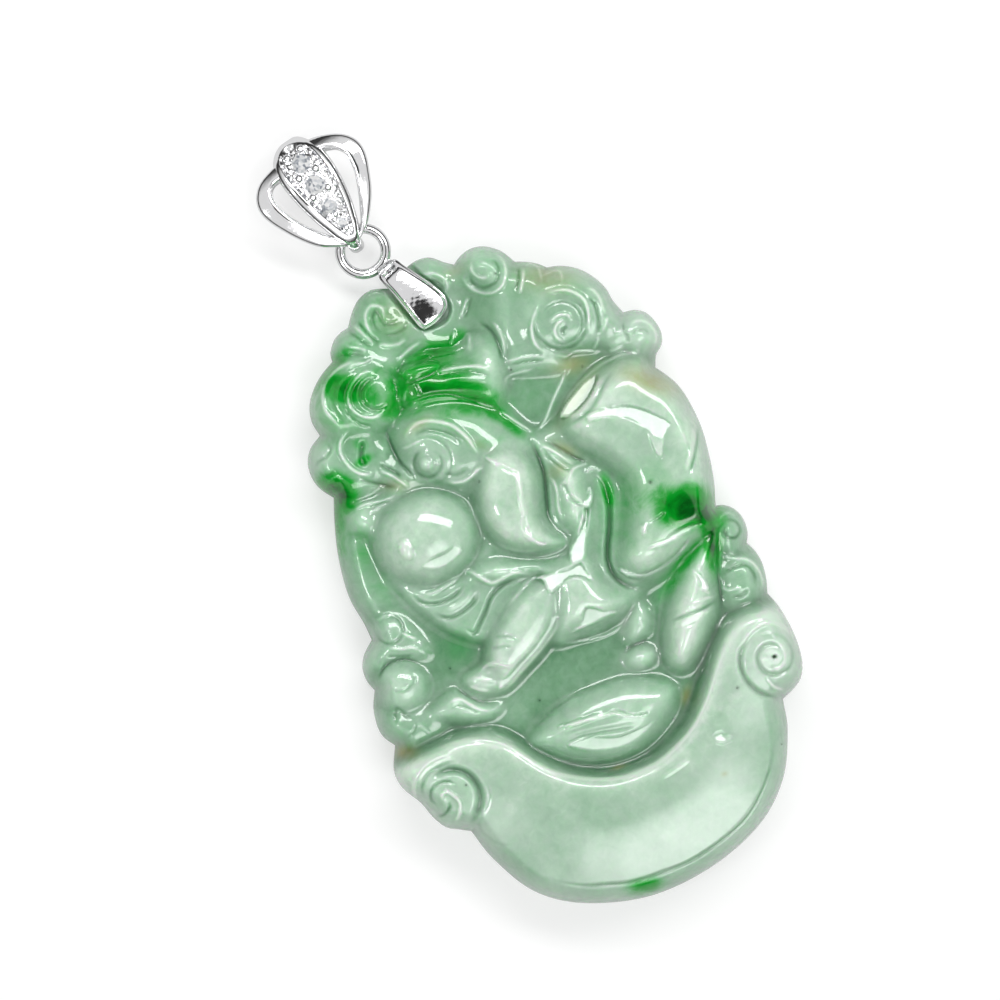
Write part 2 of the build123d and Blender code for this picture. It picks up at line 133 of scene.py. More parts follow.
# %% [markdown]
# Jewellery is photographed in a tent of white cloth. The world is that tent: white above, with a
# darker band low down, which draws the thin dark lines along polished edges, one dark place where
# the photographer stands, and one bright place where a lamp glows through the cloth. A long softbox
# and a small lamp make the crisp highlights on the polish.

# %% Light
TENT_WHITE = 0.48
TENT_IN_POLISH = 1.55
HORIZON_GREY = 0.03
HORIZON_BAND = (0.32, 0.72)
# Two places in the tent: the way to each, the angles over which its edge fades, and its light
CAMERA_HOLE = (0.03, -0.04, 1)
CAMERA_HOLE_EDGE = (9, 15)
CAMERA_HOLE_LIGHT = 0.05
GLOW_AT = (0.08, -0.46, 0.88)
GLOW_EDGE = (6, 19)
GLOW_LIGHT = 4.2
PAPER_GLOW = 0.58
PAPER_IN_POLISH = 0.25
FLOOR_HALF = 1500
LIT_PLACE = (0, 3, 0)
# Each row: name, azimuth, elevation, distance, width, height, power
LAMPS = [
    ("softbox above", 50, 61, 420, 400, 105, 1.05),
    ("small lamp", 178, 58, 420, 60, 90, 0.16),
]


def add_world():
    world = bpy.data.worlds.new("white tent")
    world.use_nodes = True
    tree = world.node_tree
    tree.nodes.clear()
    place = add_node(tree, "ShaderNodeTexCoord").outputs["Generated"]
    split = add_node(tree, "ShaderNodeSeparateXYZ", Vector=place)
    band = add_node(tree, "ShaderNodeMapRange", SOFT_EDGE, Value=split.outputs["Z"], To_Min=HORIZON_GREY,
                    From_Min=HORIZON_BAND[0], From_Max=HORIZON_BAND[1], To_Max=TENT_WHITE)

    def toward(direction, edge, at_centre, beyond):
        """A value round one direction, with a soft edge between two angles in degrees."""
        dot = add_node(tree, "ShaderNodeVectorMath", {"operation": "DOT_PRODUCT"}, i0=place,
                       i1=Vector(direction).normalized())
        inner, outer = (math.cos(math.radians(angle)) for angle in edge)
        return add_node(tree, "ShaderNodeMapRange", SOFT_EDGE, Value=dot.outputs["Value"],
                        From_Min=outer, From_Max=inner, To_Min=beyond, To_Max=at_centre)

    # The cloth looks brighter in the polish than it lights, as in an overexposed studio shot
    polish = add_node(tree, "ShaderNodeLightPath").outputs["Is Glossy Ray"]
    lift = add_node(tree, "ShaderNodeMapRange", Value=polish, To_Min=1.0, To_Max=TENT_IN_POLISH)
    cloth = add_node(tree, "ShaderNodeMath", TIMES, i0=band, i1=lift)
    hole = toward(CAMERA_HOLE, CAMERA_HOLE_EDGE, CAMERA_HOLE_LIGHT, 1.0)
    cloth = add_node(tree, "ShaderNodeMath", TIMES, i0=cloth, i1=hole)
    glow = toward(GLOW_AT, GLOW_EDGE, GLOW_LIGHT, 0.0)
    strength = add_node(tree, "ShaderNodeMath", PLUS, i0=cloth, i1=glow)
    tent = add_node(tree, "ShaderNodeBackground", Color=(1, 1, 1, 1), Strength=strength)
    add_node(tree, "ShaderNodeOutputWorld", Surface=tent)
    bpy.context.scene.world = world


def add_softbox(name, azimuth, elevation, distance, width, height, power):
    """An area light that faces the pendant."""
    data = bpy.data.lights.new(name, "AREA")
    data.shape = "RECTANGLE"
    data.size = width * MM
    data.size_y = height * MM
    data.energy = power
    light = bpy.data.objects.new(name, data)
    bpy.context.collection.objects.link(light)
    a, e = math.radians(azimuth), math.radians(elevation)
    way = Vector((math.cos(a) * math.cos(e), math.sin(a) * math.cos(e), math.sin(e)))
    light.location = (Vector(LIT_PLACE) + way * distance) * MM
    light.rotation_euler = way.to_track_quat("Z", "Y").to_euler()


def add_floor():
    half = FLOOR_HALF * MM
    corners = [(-half, -half, 0), (half, -half, 0), (half, half, 0), (-half, half, 0)]
    mesh = bpy.data.meshes.new("floor")
    mesh.from_pydata(corners, [], [(0, 1, 2, 3)])
    floor = bpy.data.objects.new("floor", mesh)
    bpy.context.collection.objects.link(floor)
    paper = new_material("matt white paper")
    tree = paper.node_tree
    polish = add_node(tree, "ShaderNodeLightPath").outputs["Is Glossy Ray"]
    glow = add_node(tree, "ShaderNodeMapRange", Value=polish, To_Min=PAPER_GLOW, To_Max=PAPER_IN_POLISH)
    shader = add_node(tree, "ShaderNodeBsdfPrincipled", Base_Color=linear("#B2B2B2"), Roughness=0.9,
                      Specular_IOR_Level=0.0, Emission_Color=(1, 1, 1, 1), Emission_Strength=glow)
    add_node(tree, "ShaderNodeOutputMaterial", Surface=shader)
    mesh.materials.append(paper)


add_world()
add_floor()
for lamp in LAMPS:
    add_softbox(*lamp)
bpy.context.scene.view_settings.view_transform = "Standard"

# %% [markdown]
# The carving could be sculpted by hand, but a script can't hold a brush. A relief is a height over
# each place of the face, so it's built as a carver thinks: raise a form inside an outline, round its
# shoulder, raise thin ridges along lines, and cut grooves. These helpers do that on arrays of
# places, and a smooth maximum lets one form run into the next, as polished stone does.

# %% Lines and distances
def smooth_line(points, closed=True, step=0.45):
    """A smooth line through points (x, y), or (x, y, 1) for a corner."""
    rows = [tuple(p) + (0,) * (3 - len(p)) for p in points]
    count = len(rows)
    line = []
    for i in range(count if closed else count - 1):
        here, there = np.array(rows[i][:2]), np.array(rows[(i + 1) % count][:2])
        corner_here = rows[i][2] or (not closed and i == 0)
        corner_there = rows[(i + 1) % count][2] or (not closed and i == count - 2)
        before = 2 * here - there if corner_here else np.array(rows[i - 1][:2])
        after = 2 * there - here if corner_there else np.array(rows[(i + 2) % count][:2])
        steps = max(1, math.ceil(math.dist(here, there) / step))
        for t in np.arange(steps) / steps:
            line.append(0.5 * (2 * here + (there - before) * t
                               + (2 * before - 5 * here + 4 * there - after) * t * t
                               + (3 * here - before - 3 * there + after) * t ** 3))
    if not closed:
        line.append(np.array(rows[-1][:2]))
    return np.array(line)


def nearest(x, y, line, closed=False):
    """Distance from each place to a line, and how far along the line that is, from 0 to 1."""
    ends = np.roll(line, -1, axis=0) if closed else line[1:]
    starts = line if closed else line[:-1]
    best = np.full(x.shape, 1e9)
    along = np.zeros(x.shape)
    for i, ((ax, ay), (bx, by)) in enumerate(zip(starts, ends)):
        dx, dy = bx - ax, by - ay
        size = max(dx * dx + dy * dy, 1e-12)
        t = np.clip(((x - ax) * dx + (y - ay) * dy) / size, 0, 1)
        square = (x - ax - t * dx) ** 2 + (y - ay - t * dy) ** 2
        closer = square < best
        best[closer] = square[closer]
        along[closer] = (i + t[closer]) / len(starts)
    return np.sqrt(best), along


def depth_inside(x, y, line):
    """How far inside a closed line each place lies; negative outside."""
    far, _ = nearest(x, y, line, True)
    inside = np.zeros(x.shape, bool)
    for (ax, ay), (bx, by) in zip(line, np.roll(line, -1, axis=0)):
        if ay != by:
            inside ^= ((ay > y) != (by > y)) & (x < (bx - ax) * (y - ay) / (by - ay) + ax)
    return np.where(inside, far, -far)


def smooth_max(a, b, blend):
    gap = np.maximum(blend - np.abs(a - b), 0)
    return np.maximum(a, b) + gap * gap / (4 * blend)


def smooth_step(t):
    t = np.clip(t, 0, 1)
    return t * t * (3 - 2 * t)


def turned(dx, dy, degrees):
    """Distances from a point, measured along and across an axis that is turned anticlockwise."""
    c, s = math.cos(math.radians(degrees)), math.sin(math.radians(degrees))
    return dx * c + dy * s, dy * c - dx * s


def spiral(x, y, outer, inner, start, turns, squash=1.0):
    """A scroll from its outer end to its heart. Positive turns run anticlockwise."""
    t = np.linspace(0, 1, int(abs(turns) * 22) + 4)
    r = outer + (inner - outer) * t
    a = math.radians(start) + t * turns * 2 * math.pi
    return np.stack([x + r * np.cos(a), y + r * np.sin(a) * squash], axis=1)


print("a full turn has", len(spiral(0, 0, 1, 0.5, 0, 1)), "points")

# %% [markdown]
# A relief keeps a height for each place, and each tool of the carver changes those heights: it
# raises a round form or a small dome, draws a ridge or a groove along a line, polishes a flat,
# lets a face fall away, or sinks a place. All shapes of the stone below are made with these six.

# %% The carver's strokes
# Outside its foot a form runs down as steeply as this, so that two forms meet in a soft crease
SKIRT_SLOPE = 4
# A fine stroke also gets a painted highlight on a ridge and painted shade in a groove: how wide they are,
# and how strong for each millimetre of lift
PAINTED_LINE_WIDTH = 0.12
PAINTED_LINE_GAIN = 5
FACET_SLOPE = 0.26


class Relief:
    """Heights over a set of places, raised and cut as a carver would."""

    def __init__(self, x, y, ground):
        self.x, self.y, self.z = x, y, ground.copy()
        # Painted light and shade along the fine strokes
        self.line_light_and_shade = np.zeros(len(x))

    def _near(self, line, margin):
        """Which places lie in the box round a line."""
        low, high = line.min(axis=0) - margin, line.max(axis=0) + margin
        return (self.x > low[0]) & (self.x < high[0]) & (self.y > low[1]) & (self.y < high[1])

    def form(self, outline, foot, top, shoulder, crown=0.0, blend=0.3):
        """A raised form, from its foot at the outline over a round shoulder to its top."""
        line = smooth_line(outline)
        near = self._near(line, 0.6)
        depth = depth_inside(self.x[near], self.y[near], line)
        rise = np.sqrt(1 - (1 - np.clip(depth / shoulder, 0, 1)) ** 2)
        z = foot + (top - foot) * rise + crown * np.clip(depth / max(depth.max(), 1e-6), 0, 1)
        z = np.where(depth > 0, z, foot + depth * SKIRT_SLOPE)
        self.z[near] = smooth_max(self.z[near], z, blend)

    def bead(self, x, y, across, along, turn, foot, top, blend=0.2):
        """A small oval dome."""
        near = self._near(np.array([(x, y)]), max(across, along) + 0.4)
        u, v = turned(self.x[near] - x, self.y[near] - y, turn)
        q = np.sqrt((u / across) ** 2 + (v / along) ** 2)
        z = foot + (top - foot) * np.sqrt(np.clip(1 - q ** 2, 0, 1))
        z = np.where(q < 1, z, foot - (q - 1) * SKIRT_SLOPE)
        self.z[near] = smooth_max(self.z[near], z, blend)

    def ridge(self, points, lift, half_width, taper=0.25, paints_light_and_shade=False):
        """A soft ridge along an open line, fading at its ends. A negative lift is a soft groove."""
        line = points if isinstance(points, np.ndarray) else smooth_line(points, False)
        near = self._near(line, half_width)
        far, along = nearest(self.x[near], self.y[near], line)
        t = np.clip(1 - (far / half_width) ** 2, 0, 1)
        fade = smooth_step(np.minimum(along, 1 - along) / taper) if taper else 1.0
        self.z[near] += lift * t * t * fade
        # A drawn stroke keeps a painted highlight along a ridge and painted shade along a groove, for the
        # stone's tone
        if paints_light_and_shade:
            light_or_shade = math.copysign(min(abs(lift) * PAINTED_LINE_GAIN, 1), lift)
            self.line_light_and_shade[near] += light_or_shade * np.exp(-(far / PAINTED_LINE_WIDTH) ** 2) * fade

    def facet(self, outline, azimuth, slope=FACET_SLOPE, soft=0.1):
        """A polished flat: inside the outline the stone tilts evenly, downhill to the azimuth."""
        line = smooth_line(outline)
        near = self._near(line, 0.1)
        x, y, z = self.x[near], self.y[near], self.z[near]
        depth = depth_inside(x, y, line)
        inside = depth > 0
        if not inside.any():
            return
        down, _ = turned(x, y, azimuth)
        flat = z[inside].mean() - slope * (down - down[inside].mean())
        t = smooth_step(depth / soft)
        self.z[near] = z * (1 - t) + flat * t

    def fall(self, outline, foot, drop, width):
        """Inside an outline the stone falls gently, steepest at the edge of a second outline."""
        line, lower = smooth_line(outline), smooth_line(foot)
        near = self._near(line, 0.1)
        x, y = self.x[near], self.y[near]
        t = np.clip(depth_inside(x, y, lower) / width, 0, 1)
        self.z[near] -= drop * (1 - t) ** 2 * smooth_step(depth_inside(x, y, line) / 0.5)

    def sink(self, outline, level, shoulder):
        """A sunk flat place."""
        line = smooth_line(outline)
        near = self._near(line, 0.2)
        t = smooth_step(depth_inside(self.x[near], self.y[near], line) / shoulder)
        self.z[near] = self.z[near] * (1 - t) + np.minimum(self.z[near], level) * t


print("strokes:", [name for name in vars(Relief) if name[0] != "_"])

# %% [markdown]
# The outline of the stone is a string of cloud lobes above, a long smooth belly of an ingot below,
# and small curls at both sides. Corners in the table are the notches between the lobes, where the
# carver's wheel stopped.

# %% The outline of the stone
SILHOUETTE = [
    (-2.4, 24, 1), (-1.7, 24.6), (-0.9, 25.1), (0.1, 25.3), (1, 25.1), (1.8, 24.4),
    (2.4, 23.95, 1), (3.1, 24.35), (4, 24.55), (5, 24.3), (5.9, 23.6), (6.35, 22.9),
    (6.6, 22.4, 1), (7.4, 22.05), (8.1, 21.6),
    (8.6, 21.1, 1), (9.6, 20.8), (10.7, 20.1), (11.5, 19.1), (12, 18), (12.15, 16.9),
    (12.5, 15.85, 1), (13.3, 15.7), (14, 15.2), (14.4, 14.3), (14.5, 13.4), (14.2, 12.6), (13.5, 12),
    (13.1, 11.2, 1), (13.6, 10.4), (14.1, 9.4), (14.4, 8), (14.5, 6), (14.3, 4.2), (13.85, 2),
    (13.2, 0.1, 1), (13.8, -0.1), (14.4, -0.7), (14.7, -1.6), (14.6, -2.6),
    (14.25, -3.3, 1), (14.6, -4.2), (14.7, -5.2), (14.5, -6.4),
    (14.2, -7.3, 1), (14.6, -8.6), (14.8, -10.2), (14.8, -11.6), (14.55, -13), (14, -14), (13.2, -14.5),
    (12.2, -14.9, 1), (11.6, -17.2), (9.9, -20.3), (7, -22.7), (2.5, -24.2), (-2.5, -24.4), (-7.2, -22.95),
    (-10.2, -20.7), (-12, -17.4),
    (-12.7, -14.9, 1), (-13.5, -14.4), (-14.3, -13.9), (-14.9, -12.8), (-15.3, -11.5), (-16.1, -10),
    (-16.2, -8.6),
    (-15.4, -6.9, 1), (-15.9, -6.1), (-16.05, -5.2), (-15.8, -3.8),
    (-15.2, -2.6, 1), (-15.45, -1.8), (-15.4, -0.8), (-14.9, 0.1),
    (-13.95, 0.9, 1), (-14, 2.2), (-14.25, 4.2), (-14.1, 6), (-13.7, 8), (-13.1, 9.9),
    (-12.45, 11.6, 1), (-13.1, 12.6), (-13.35, 13.6), (-13.2, 14.7), (-12.6, 15.6),
    (-11.6, 16.2, 1), (-11.75, 17.4), (-11.4, 18.6), (-10.6, 19.6), (-9.7, 20.3),
    (-8.65, 20.85, 1), (-8.5, 21.5), (-7.9, 22.25), (-7.2, 22.6),
    (-6.6, 22.7, 1), (-5.9, 23.6), (-5.1, 24.3), (-4.1, 24.6), (-3.2, 24.4),
]
silhouette = smooth_line(SILHOUETTE)
print("outline runs from", silhouette.min(axis=0).round(2), "to", silhouette.max(axis=0).round(2), "mm")

# %% [markdown]
# The clouds come first. Behind everything is one bank, and the lobes, the two big scrolled clouds
# and the crest behind the head stand on it. The clip needs a low seat round its hole.

# %% Forms of the upper half
GROUND = 5.0
GROUND_DOME = 0.5
GROUND_HALF = (15, 25)
SEAT_LEVEL = 4.3
EASE_LEVEL = SEAT_LEVEL + 0.55
EASE_FAR = 5.2
EASE_WIDTH = 4.0
HOLE_AT = (-0.35, 21.25)
CLIP_LINE = [(-3, 25.8), (-1.7, 22.9), (0.05, 20.9)]


def carve_clouds(r):
    # Smooth bank beside the snout
    r.form([(-14.6, 1.2), (-14.8, 6), (-13.9, 9.5), (-12.6, 11.6), (-11.2, 11.4), (-10.6, 8.5), (-11.4, 6),
            (-11.2, 3.4), (-11.6, 1.6), (-13.2, 0.9)], 3.9, 5.2, 2.4)
    # Bank that the upper scrolls stand on
    r.form([(-13, 11.4), (-14, 14), (-12.6, 16.4), (-12.2, 19), (-9.5, 21), (-8.2, 22.8), (-5.5, 24.8),
            (-2.4, 25), (0.2, 25.8), (2.4, 24.8), (5.5, 24.8), (8.4, 22), (11.5, 20.2), (12.8, 17),
            (14.9, 14.8), (14.3, 11.8), (12.6, 12.4), (9.6, 14.2), (7.4, 14.5), (7, 13.4), (2.8, 14.9),
            (3.2, 16.8), (2.4, 18.9), (0.4, 19.2), (-2.2, 19.4), (-4.6, 18.3), (-5.9, 16.2), (-7.2, 14.6),
            (-8.8, 11.2), (-11, 10.8)], 4.8, 6.5, 1.4)
    # Lobes round the top
    r.form([(-6.5, 21.9), (-6.3, 23.4), (-5, 24.9), (-3.6, 25.1), (-2.4, 24.2), (-2.2, 22.6), (-2.2, 21.2),
            (-3.1, 20.3), (-4.6, 20), (-5.9, 20.8)], 5.0, 6.5, 1.5)
    r.form([(-8.9, 21.2), (-8.4, 22.7), (-6.9, 23.2), (-6.1, 21.8), (-5.6, 20.8), (-6.4, 20.1),
            (-7.9, 20.4)],
           4.9, 6.1, 1.2)
    r.form([(-0.9, 25.5), (0.4, 25.9), (1.7, 25.1), (2.4, 23.7), (2.2, 22.3), (1.6, 21.1), (0.8, 21),
            (0.3, 23)],
           4.3, 5.6, 1.3)
    r.form([(2.3, 23.6), (3, 25), (4.6, 25.1), (6.2, 24.1), (6.9, 22.5), (6.4, 20.9), (5, 20), (3.4, 20.2),
            (2.4, 21.6)], 5.0, 6.5, 1.5)
    r.form([(6.6, 21.9), (7.4, 22.7), (8.6, 22), (9, 20.7), (8.6, 19.5), (7.2, 19.7), (6.2, 20.6)],
           5.0, 6.1, 1.1)
    # Left and right scrolled clouds
    r.form([(-12.1, 16), (-12.4, 17.6), (-11.8, 19.4), (-10.3, 20.7), (-8.3, 21), (-6.4, 20.2),
            (-5.2, 18.9), (-4.8, 17.3), (-5.4, 15.6), (-6.9, 14.7), (-8.8, 14.9),
            (-10.4, 15.2)], 5.6, 7.2, 1.4)
    r.form([(4.6, 16.6), (4.8, 18.6), (6.2, 20.1), (8.6, 20.9), (10.8, 20.5), (12.3, 18.7), (12.6, 16.7),
            (11.7, 14.9), (9.8, 14.3), (7.4, 14.8), (5.6, 15.2)], 5.6, 7.1, 1.8)
    r.form([(12.2, 15.9), (13.6, 16.2), (15, 15), (15.1, 13.3), (14.2, 11.9), (12.6, 12.1), (11.6, 13.2),
            (11.4, 14.8)], 5.0, 6.0, 0.9)
    r.bead(11, 14.1, 0.8, 0.8, 0, 5.5, 6.4)
    # Ball at the left shoulder
    r.form([(-12.2, 11.9), (-13.7, 13), (-13.8, 14.6), (-13, 16), (-11.6, 16.4), (-10.9, 15.3),
            (-10.9, 13.8), (-11.4, 12.6)], 5.0, 6.4, 1.4)


def ease_to_clip(r):
    """The relief grows shallow towards the clip, so that the clip can lie on it."""
    far, _ = nearest(r.x, r.y, np.array(CLIP_LINE))
    r.z += (EASE_LEVEL - r.z) * smooth_step((EASE_FAR - far) / EASE_WIDTH)


def carve_seat(r):
    """The flat seat under the clip's tongue."""
    r.sink([(-2.8, 26.4), (-3.25, 24.6), (-2.8, 22.8), (-2.15, 21), (-1.6, 20.2), (-0.45, 20), (0.4, 20.15),
            (1, 20.75), (1.15, 21.5), (0.85, 22.8), (0, 24.4), (-0.8, 26.4)], SEAT_LEVEL, 0.3)


def carve_crest(r):
    r.form([(-5.1, 16.6), (-4.6, 17.7), (-3.7, 18.5), (-2.4, 18.9), (-1, 18.8), (0.3, 18.6), (1.3, 18.9),
            (2.3, 18.4), (2.9, 17.4), (3, 16.2), (2.7, 14.9), (2.1, 13.8), (1.4, 13), (0.4, 13.3),
            (-1.2, 14.2), (-3.2, 14.8), (-4.8, 15.2)], 5.8, 7.4, 1.2)
    # Coin: a flat square, a little sunk, between crest, cloud and rump
    r.sink([(2.6, 14.7, 1), (7.2, 13.8, 1), (5.3, 11.8), (3.05, 10, 1), (1.2, 12.8, 1)], 5.7, 0.35)


print("ground at", GROUND, "mm, seat of the clip at", SEAT_LEVEL, "mm")

# %% [markdown]
# The pig lies with its head at the left and its snout towards us. Each part of it is one smooth
# closed form, taller than what lies behind it: the rump, the ear and the snout stand highest.

# %% Forms of the pig
def carve_head(r):
    # One low mass under the whole pig, so that its parts meet in shallow folds
    r.form([(-7.2, 12.2), (-6.8, 14.2), (-5.4, 15.4), (-3, 16), (0, 15), (1.8, 13), (3, 10.7), (4.8, 10.6),
            (6.5, 11.7), (9, 12.9), (12, 12.4), (14, 9.9), (15, 6), (14.2, 1.8), (12.6, -1), (10.4, -2.4),
            (8.2, -3.2), (5.8, -3.6), (3.5, -4.8), (0.2, -5), (-2.2, -4.4), (-4.2, -2.6), (-6.4, -2.6),
            (-8.6, -0.8), (-10.2, 2), (-11.2, 5.4), (-11, 8.6), (-9, 10.2)], 5.0, 6.7, 1.2)
    # Mane and plume left of the head
    r.form([(-11, 15.6), (-11.4, 14), (-11, 12.4), (-9.6, 11.4), (-8, 10.6), (-6.4, 9.6), (-6, 10.8),
            (-7, 12.4), (-7, 14.2), (-8.2, 15.3), (-9.6, 15.8)], 4.8, 6.3, 1.5)
    r.form([(-12.1, 9.2), (-11.7, 8.2), (-10.8, 8), (-10.1, 8.9), (-9, 9.6), (-7.6, 9.9), (-6.8, 10.3),
            (-8, 10.6), (-9.6, 10.5), (-11, 10.6), (-11.9, 10.2)], 4.6, 6.2, 0.9)
    r.bead(-11.05, 9.15, 1.05, 1.15, 0, 4.8, 6.8)
    # Head
    r.form([(-6.8, 12.4), (-6.6, 14), (-5.4, 15.2), (-3.8, 15.7), (-2, 15.4), (-0.6, 14.7), (0.6, 13.7),
            (1.3, 12.5), (2.1, 11.2), (2.8, 10), (2.4, 8.6), (0.6, 8), (-2, 7.6), (-4.2, 8.2), (-5.6, 9.4),
            (-6.4, 10.8)],
           5.4, 7.9, 2.8)
    # Muzzle and jaw behind the snout, then the chest, a slope below them
    r.form([(-11, 6.4), (-10.5, 8.6), (-8.8, 10), (-6.4, 10.4), (-4.2, 9.6), (-2.6, 8), (-2.3, 6), (-3, 4),
            (-5, 2.6), (-7.4, 2.2), (-9.6, 3), (-10.8, 4.6)], 4.9, 7.0, 1.6)
    r.form([(-10.2, 2.9), (-8.8, 2.6), (-6.2, 2.9), (-3.4, 3.4), (-0.6, 2.4), (0.8, 0.8), (-0.4, 0.2),
            (-3.4, -0.6), (-5.4, -1.6), (-6.6, -2.2), (-7.6, -1.1), (-8.8, -0.2),
            (-9.8, 1.2)], 4.6, 6.6, 1.3)


def carve_body(r):
    r.form([(3, 10.4), (4.4, 8.3), (5.5, 6.9), (5.5, 4.9), (4.9, 2.6), (4, 0.8), (3.9, -0.8), (4.4, -2.4),
            (5.4, -3.2), (6.1, -3.5), (5, -4.1), (3.5, -4.75), (2, -5.05), (0, -4.95), (-1.8, -4.6),
            (-1.6, -2.4), (-1.2, 0.2), (-3.6, 0.6), (-5.4, 1.6), (-6, 2.8), (-3.6, 3.4), (-1.2, 2.4),
            (1, 1.6), (2.2, 2.2), (1.7, 3.6), (2.2, 5.4), (2.6, 7.4), (2.2, 9.4)], 4.8, 7.7, 2.0, crown=0.5)
    # Snout, set in a groove
    snout = spiral(-7.1, 6.25, 3.6, 3.6, 0, 1, 0.9)
    r.ridge(snout, -0.7, 1.0, 0)
    r.bead(-7.1, 6.25, 3.6, 3.25, 0, 6.6, 8.6)
    # Ear
    r.form([(-1, 10.4), (0.3, 10.5), (1.3, 9.9), (2, 8.7), (2.1, 7.3), (1.7, 6), (1.25, 4.8), (1.2, 3.8),
            (1.55, 2.8), (2.1, 2), (0.9, 1.8), (-0.3, 2), (-1.6, 2.7), (-2.6, 3.8), (-3.15, 5.3),
            (-3.15, 6.8), (-2.6, 8.3), (-1.8, 9.6)], 6.2, 8.5, 1.5, crown=0.35, blend=0.15)
    # Rump and thigh
    r.form([(5, 10.3), (6.5, 11.5), (8, 12.4), (9.5, 12.9), (11, 12.9), (12.4, 12.2), (13.2, 10.9),
            (14.2, 9.6), (14.9, 7), (14.9, 5), (14.4, 2.6), (13.8, 0.2), (13.2, -1.3), (11.9, -1.9),
            (10.8, -2.1), (9.8, -2.4), (8.5, -2.8), (7, -3.1), (6, -2.9), (5.1, -2.2), (4.6, -1), (5, 0.1),
            (6, 1.7), (6.9, 3.5), (7, 4.8), (6.3, 6.2), (5.3, 7.6), (4.7, 9.2)], 5.0, 8.5, 2.2, crown=0.5)


def carve_legs(r):
    # Foreleg, hoof and fetlock
    r.form([(0.4, 0.4), (-0.7, 0.6), (-2.5, 0.2), (-3.8, -0.4), (-4.8, -1.1), (-5.8, -1.9), (-6.5, -2.8),
            (-7, -3.7), (-7.1, -4.6), (-6.6, -5.6), (-6.8, -6.35), (-5.6, -6.1), (-4.5, -5.6), (-3, -4.95),
            (-1.6, -4.1), (-0.5, -3.1), (0.2, -2.1), (0.7, -1)], 5.0, 7.7, 1.1, crown=0.35, blend=0.15)
    r.form([(-12.6, -5.7), (-11.4, -5), (-10.3, -4.6), (-9.5, -4.7), (-8.7, -5.5), (-8, -6.5), (-7.2, -6.8),
            (-6.7, -6.5), (-6.8, -7.2), (-7.3, -7.65), (-8.2, -7.8), (-9.6, -7.55), (-10.8, -7),
            (-12, -6.3)],
           4.6, 6.9, 1.1)
    r.form([(-9, -4.4), (-7.6, -3.9), (-6, -3.7), (-4.6, -4.4), (-5.6, -5.9), (-7, -6.2), (-8.2, -5.8)],
           5.4, 7.2, 0.6, blend=0.15)
    # Far hind leg and its hoof, then the near one
    r.form([(5.4, -3.7), (4.5, -4.1), (3.5, -5.4), (3, -6.6), (4.2, -6.9), (5.2, -6.5),
            (5.9, -5)], 4.3, 6.6, 1.1)
    r.bead(3.75, -7.9, 1.4, 1, -5, 4.3, 6.8)
    r.form([(12.9, -1), (11.9, -3.3), (11.1, -5), (10.4, -6.7), (9.95, -7.6), (9, -8.6), (8, -9.4),
            (7, -10), (6.2, -10.15), (5.5, -9.7), (5.2, -8.9), (5.35, -8), (6, -6.5), (7.2, -4.6),
            (8.4, -3.2), (10, -2.1), (11.5, -1.2)], 4.8, 8.0, 1.7, crown=0.3, blend=0.15)


print("parts of the pig:", [carve.__name__ for carve in (carve_head, carve_body, carve_legs)])

# %% [markdown]
# The pig rests on an ingot with a scroll at each end, and a mound of treasure fills its hollow.

# %% Forms of the lower half
# The line round the foot of the ingot, from left to right
INGOT_FOOT = [(-9.4, -19.6), (-7, -21.3), (-5, -22.1), (-3, -22.7), (0, -22.9), (2, -22.8), (5, -22.1),
              (7, -21.1), (9, -19.2), (10.5, -17)]


def carve_side_curls(r):
    # Left curls
    r.form([(-14.3, 1.4), (-13.2, 2.2), (-12, 2.3), (-11, 1.8), (-10.3, 0.6), (-9.9, -0.7), (-10.1, -2),
            (-11.5, -1.9), (-13.4, -1.2), (-15.6, -1.8), (-16.1, -0.6), (-15.4, 0.8)], 4.4, 6.2, 1.4)
    r.bead(-13.1, -3.1, 2.1, 1.9, 0, 4.8, 6.8)
    r.form([(-15.4, -3.6), (-14, -4.6), (-12.4, -4.8), (-11, -5), (-10.8, -6.4), (-11.4, -7.5),
            (-13.4, -7.7), (-15.6, -7.4), (-16.6, -6), (-16.4, -4.2)], 4.6, 6.0, 1.3)
    # Right curls
    r.form([(12.6, -0.2), (13.6, 0.4), (15, -0.8), (15.2, -2.4), (14.6, -3.5), (13.2, -3.9), (12.1, -3.2),
            (11.9, -1.8)], 4.4, 6.1, 1.3)
    r.form([(11.6, -4), (13.2, -3.7), (14.8, -4), (15.2, -5.4), (14.8, -7.2), (12.8, -7.6), (11.2, -7.4),
            (10.9, -5.8)], 4.4, 6.1, 1.4)


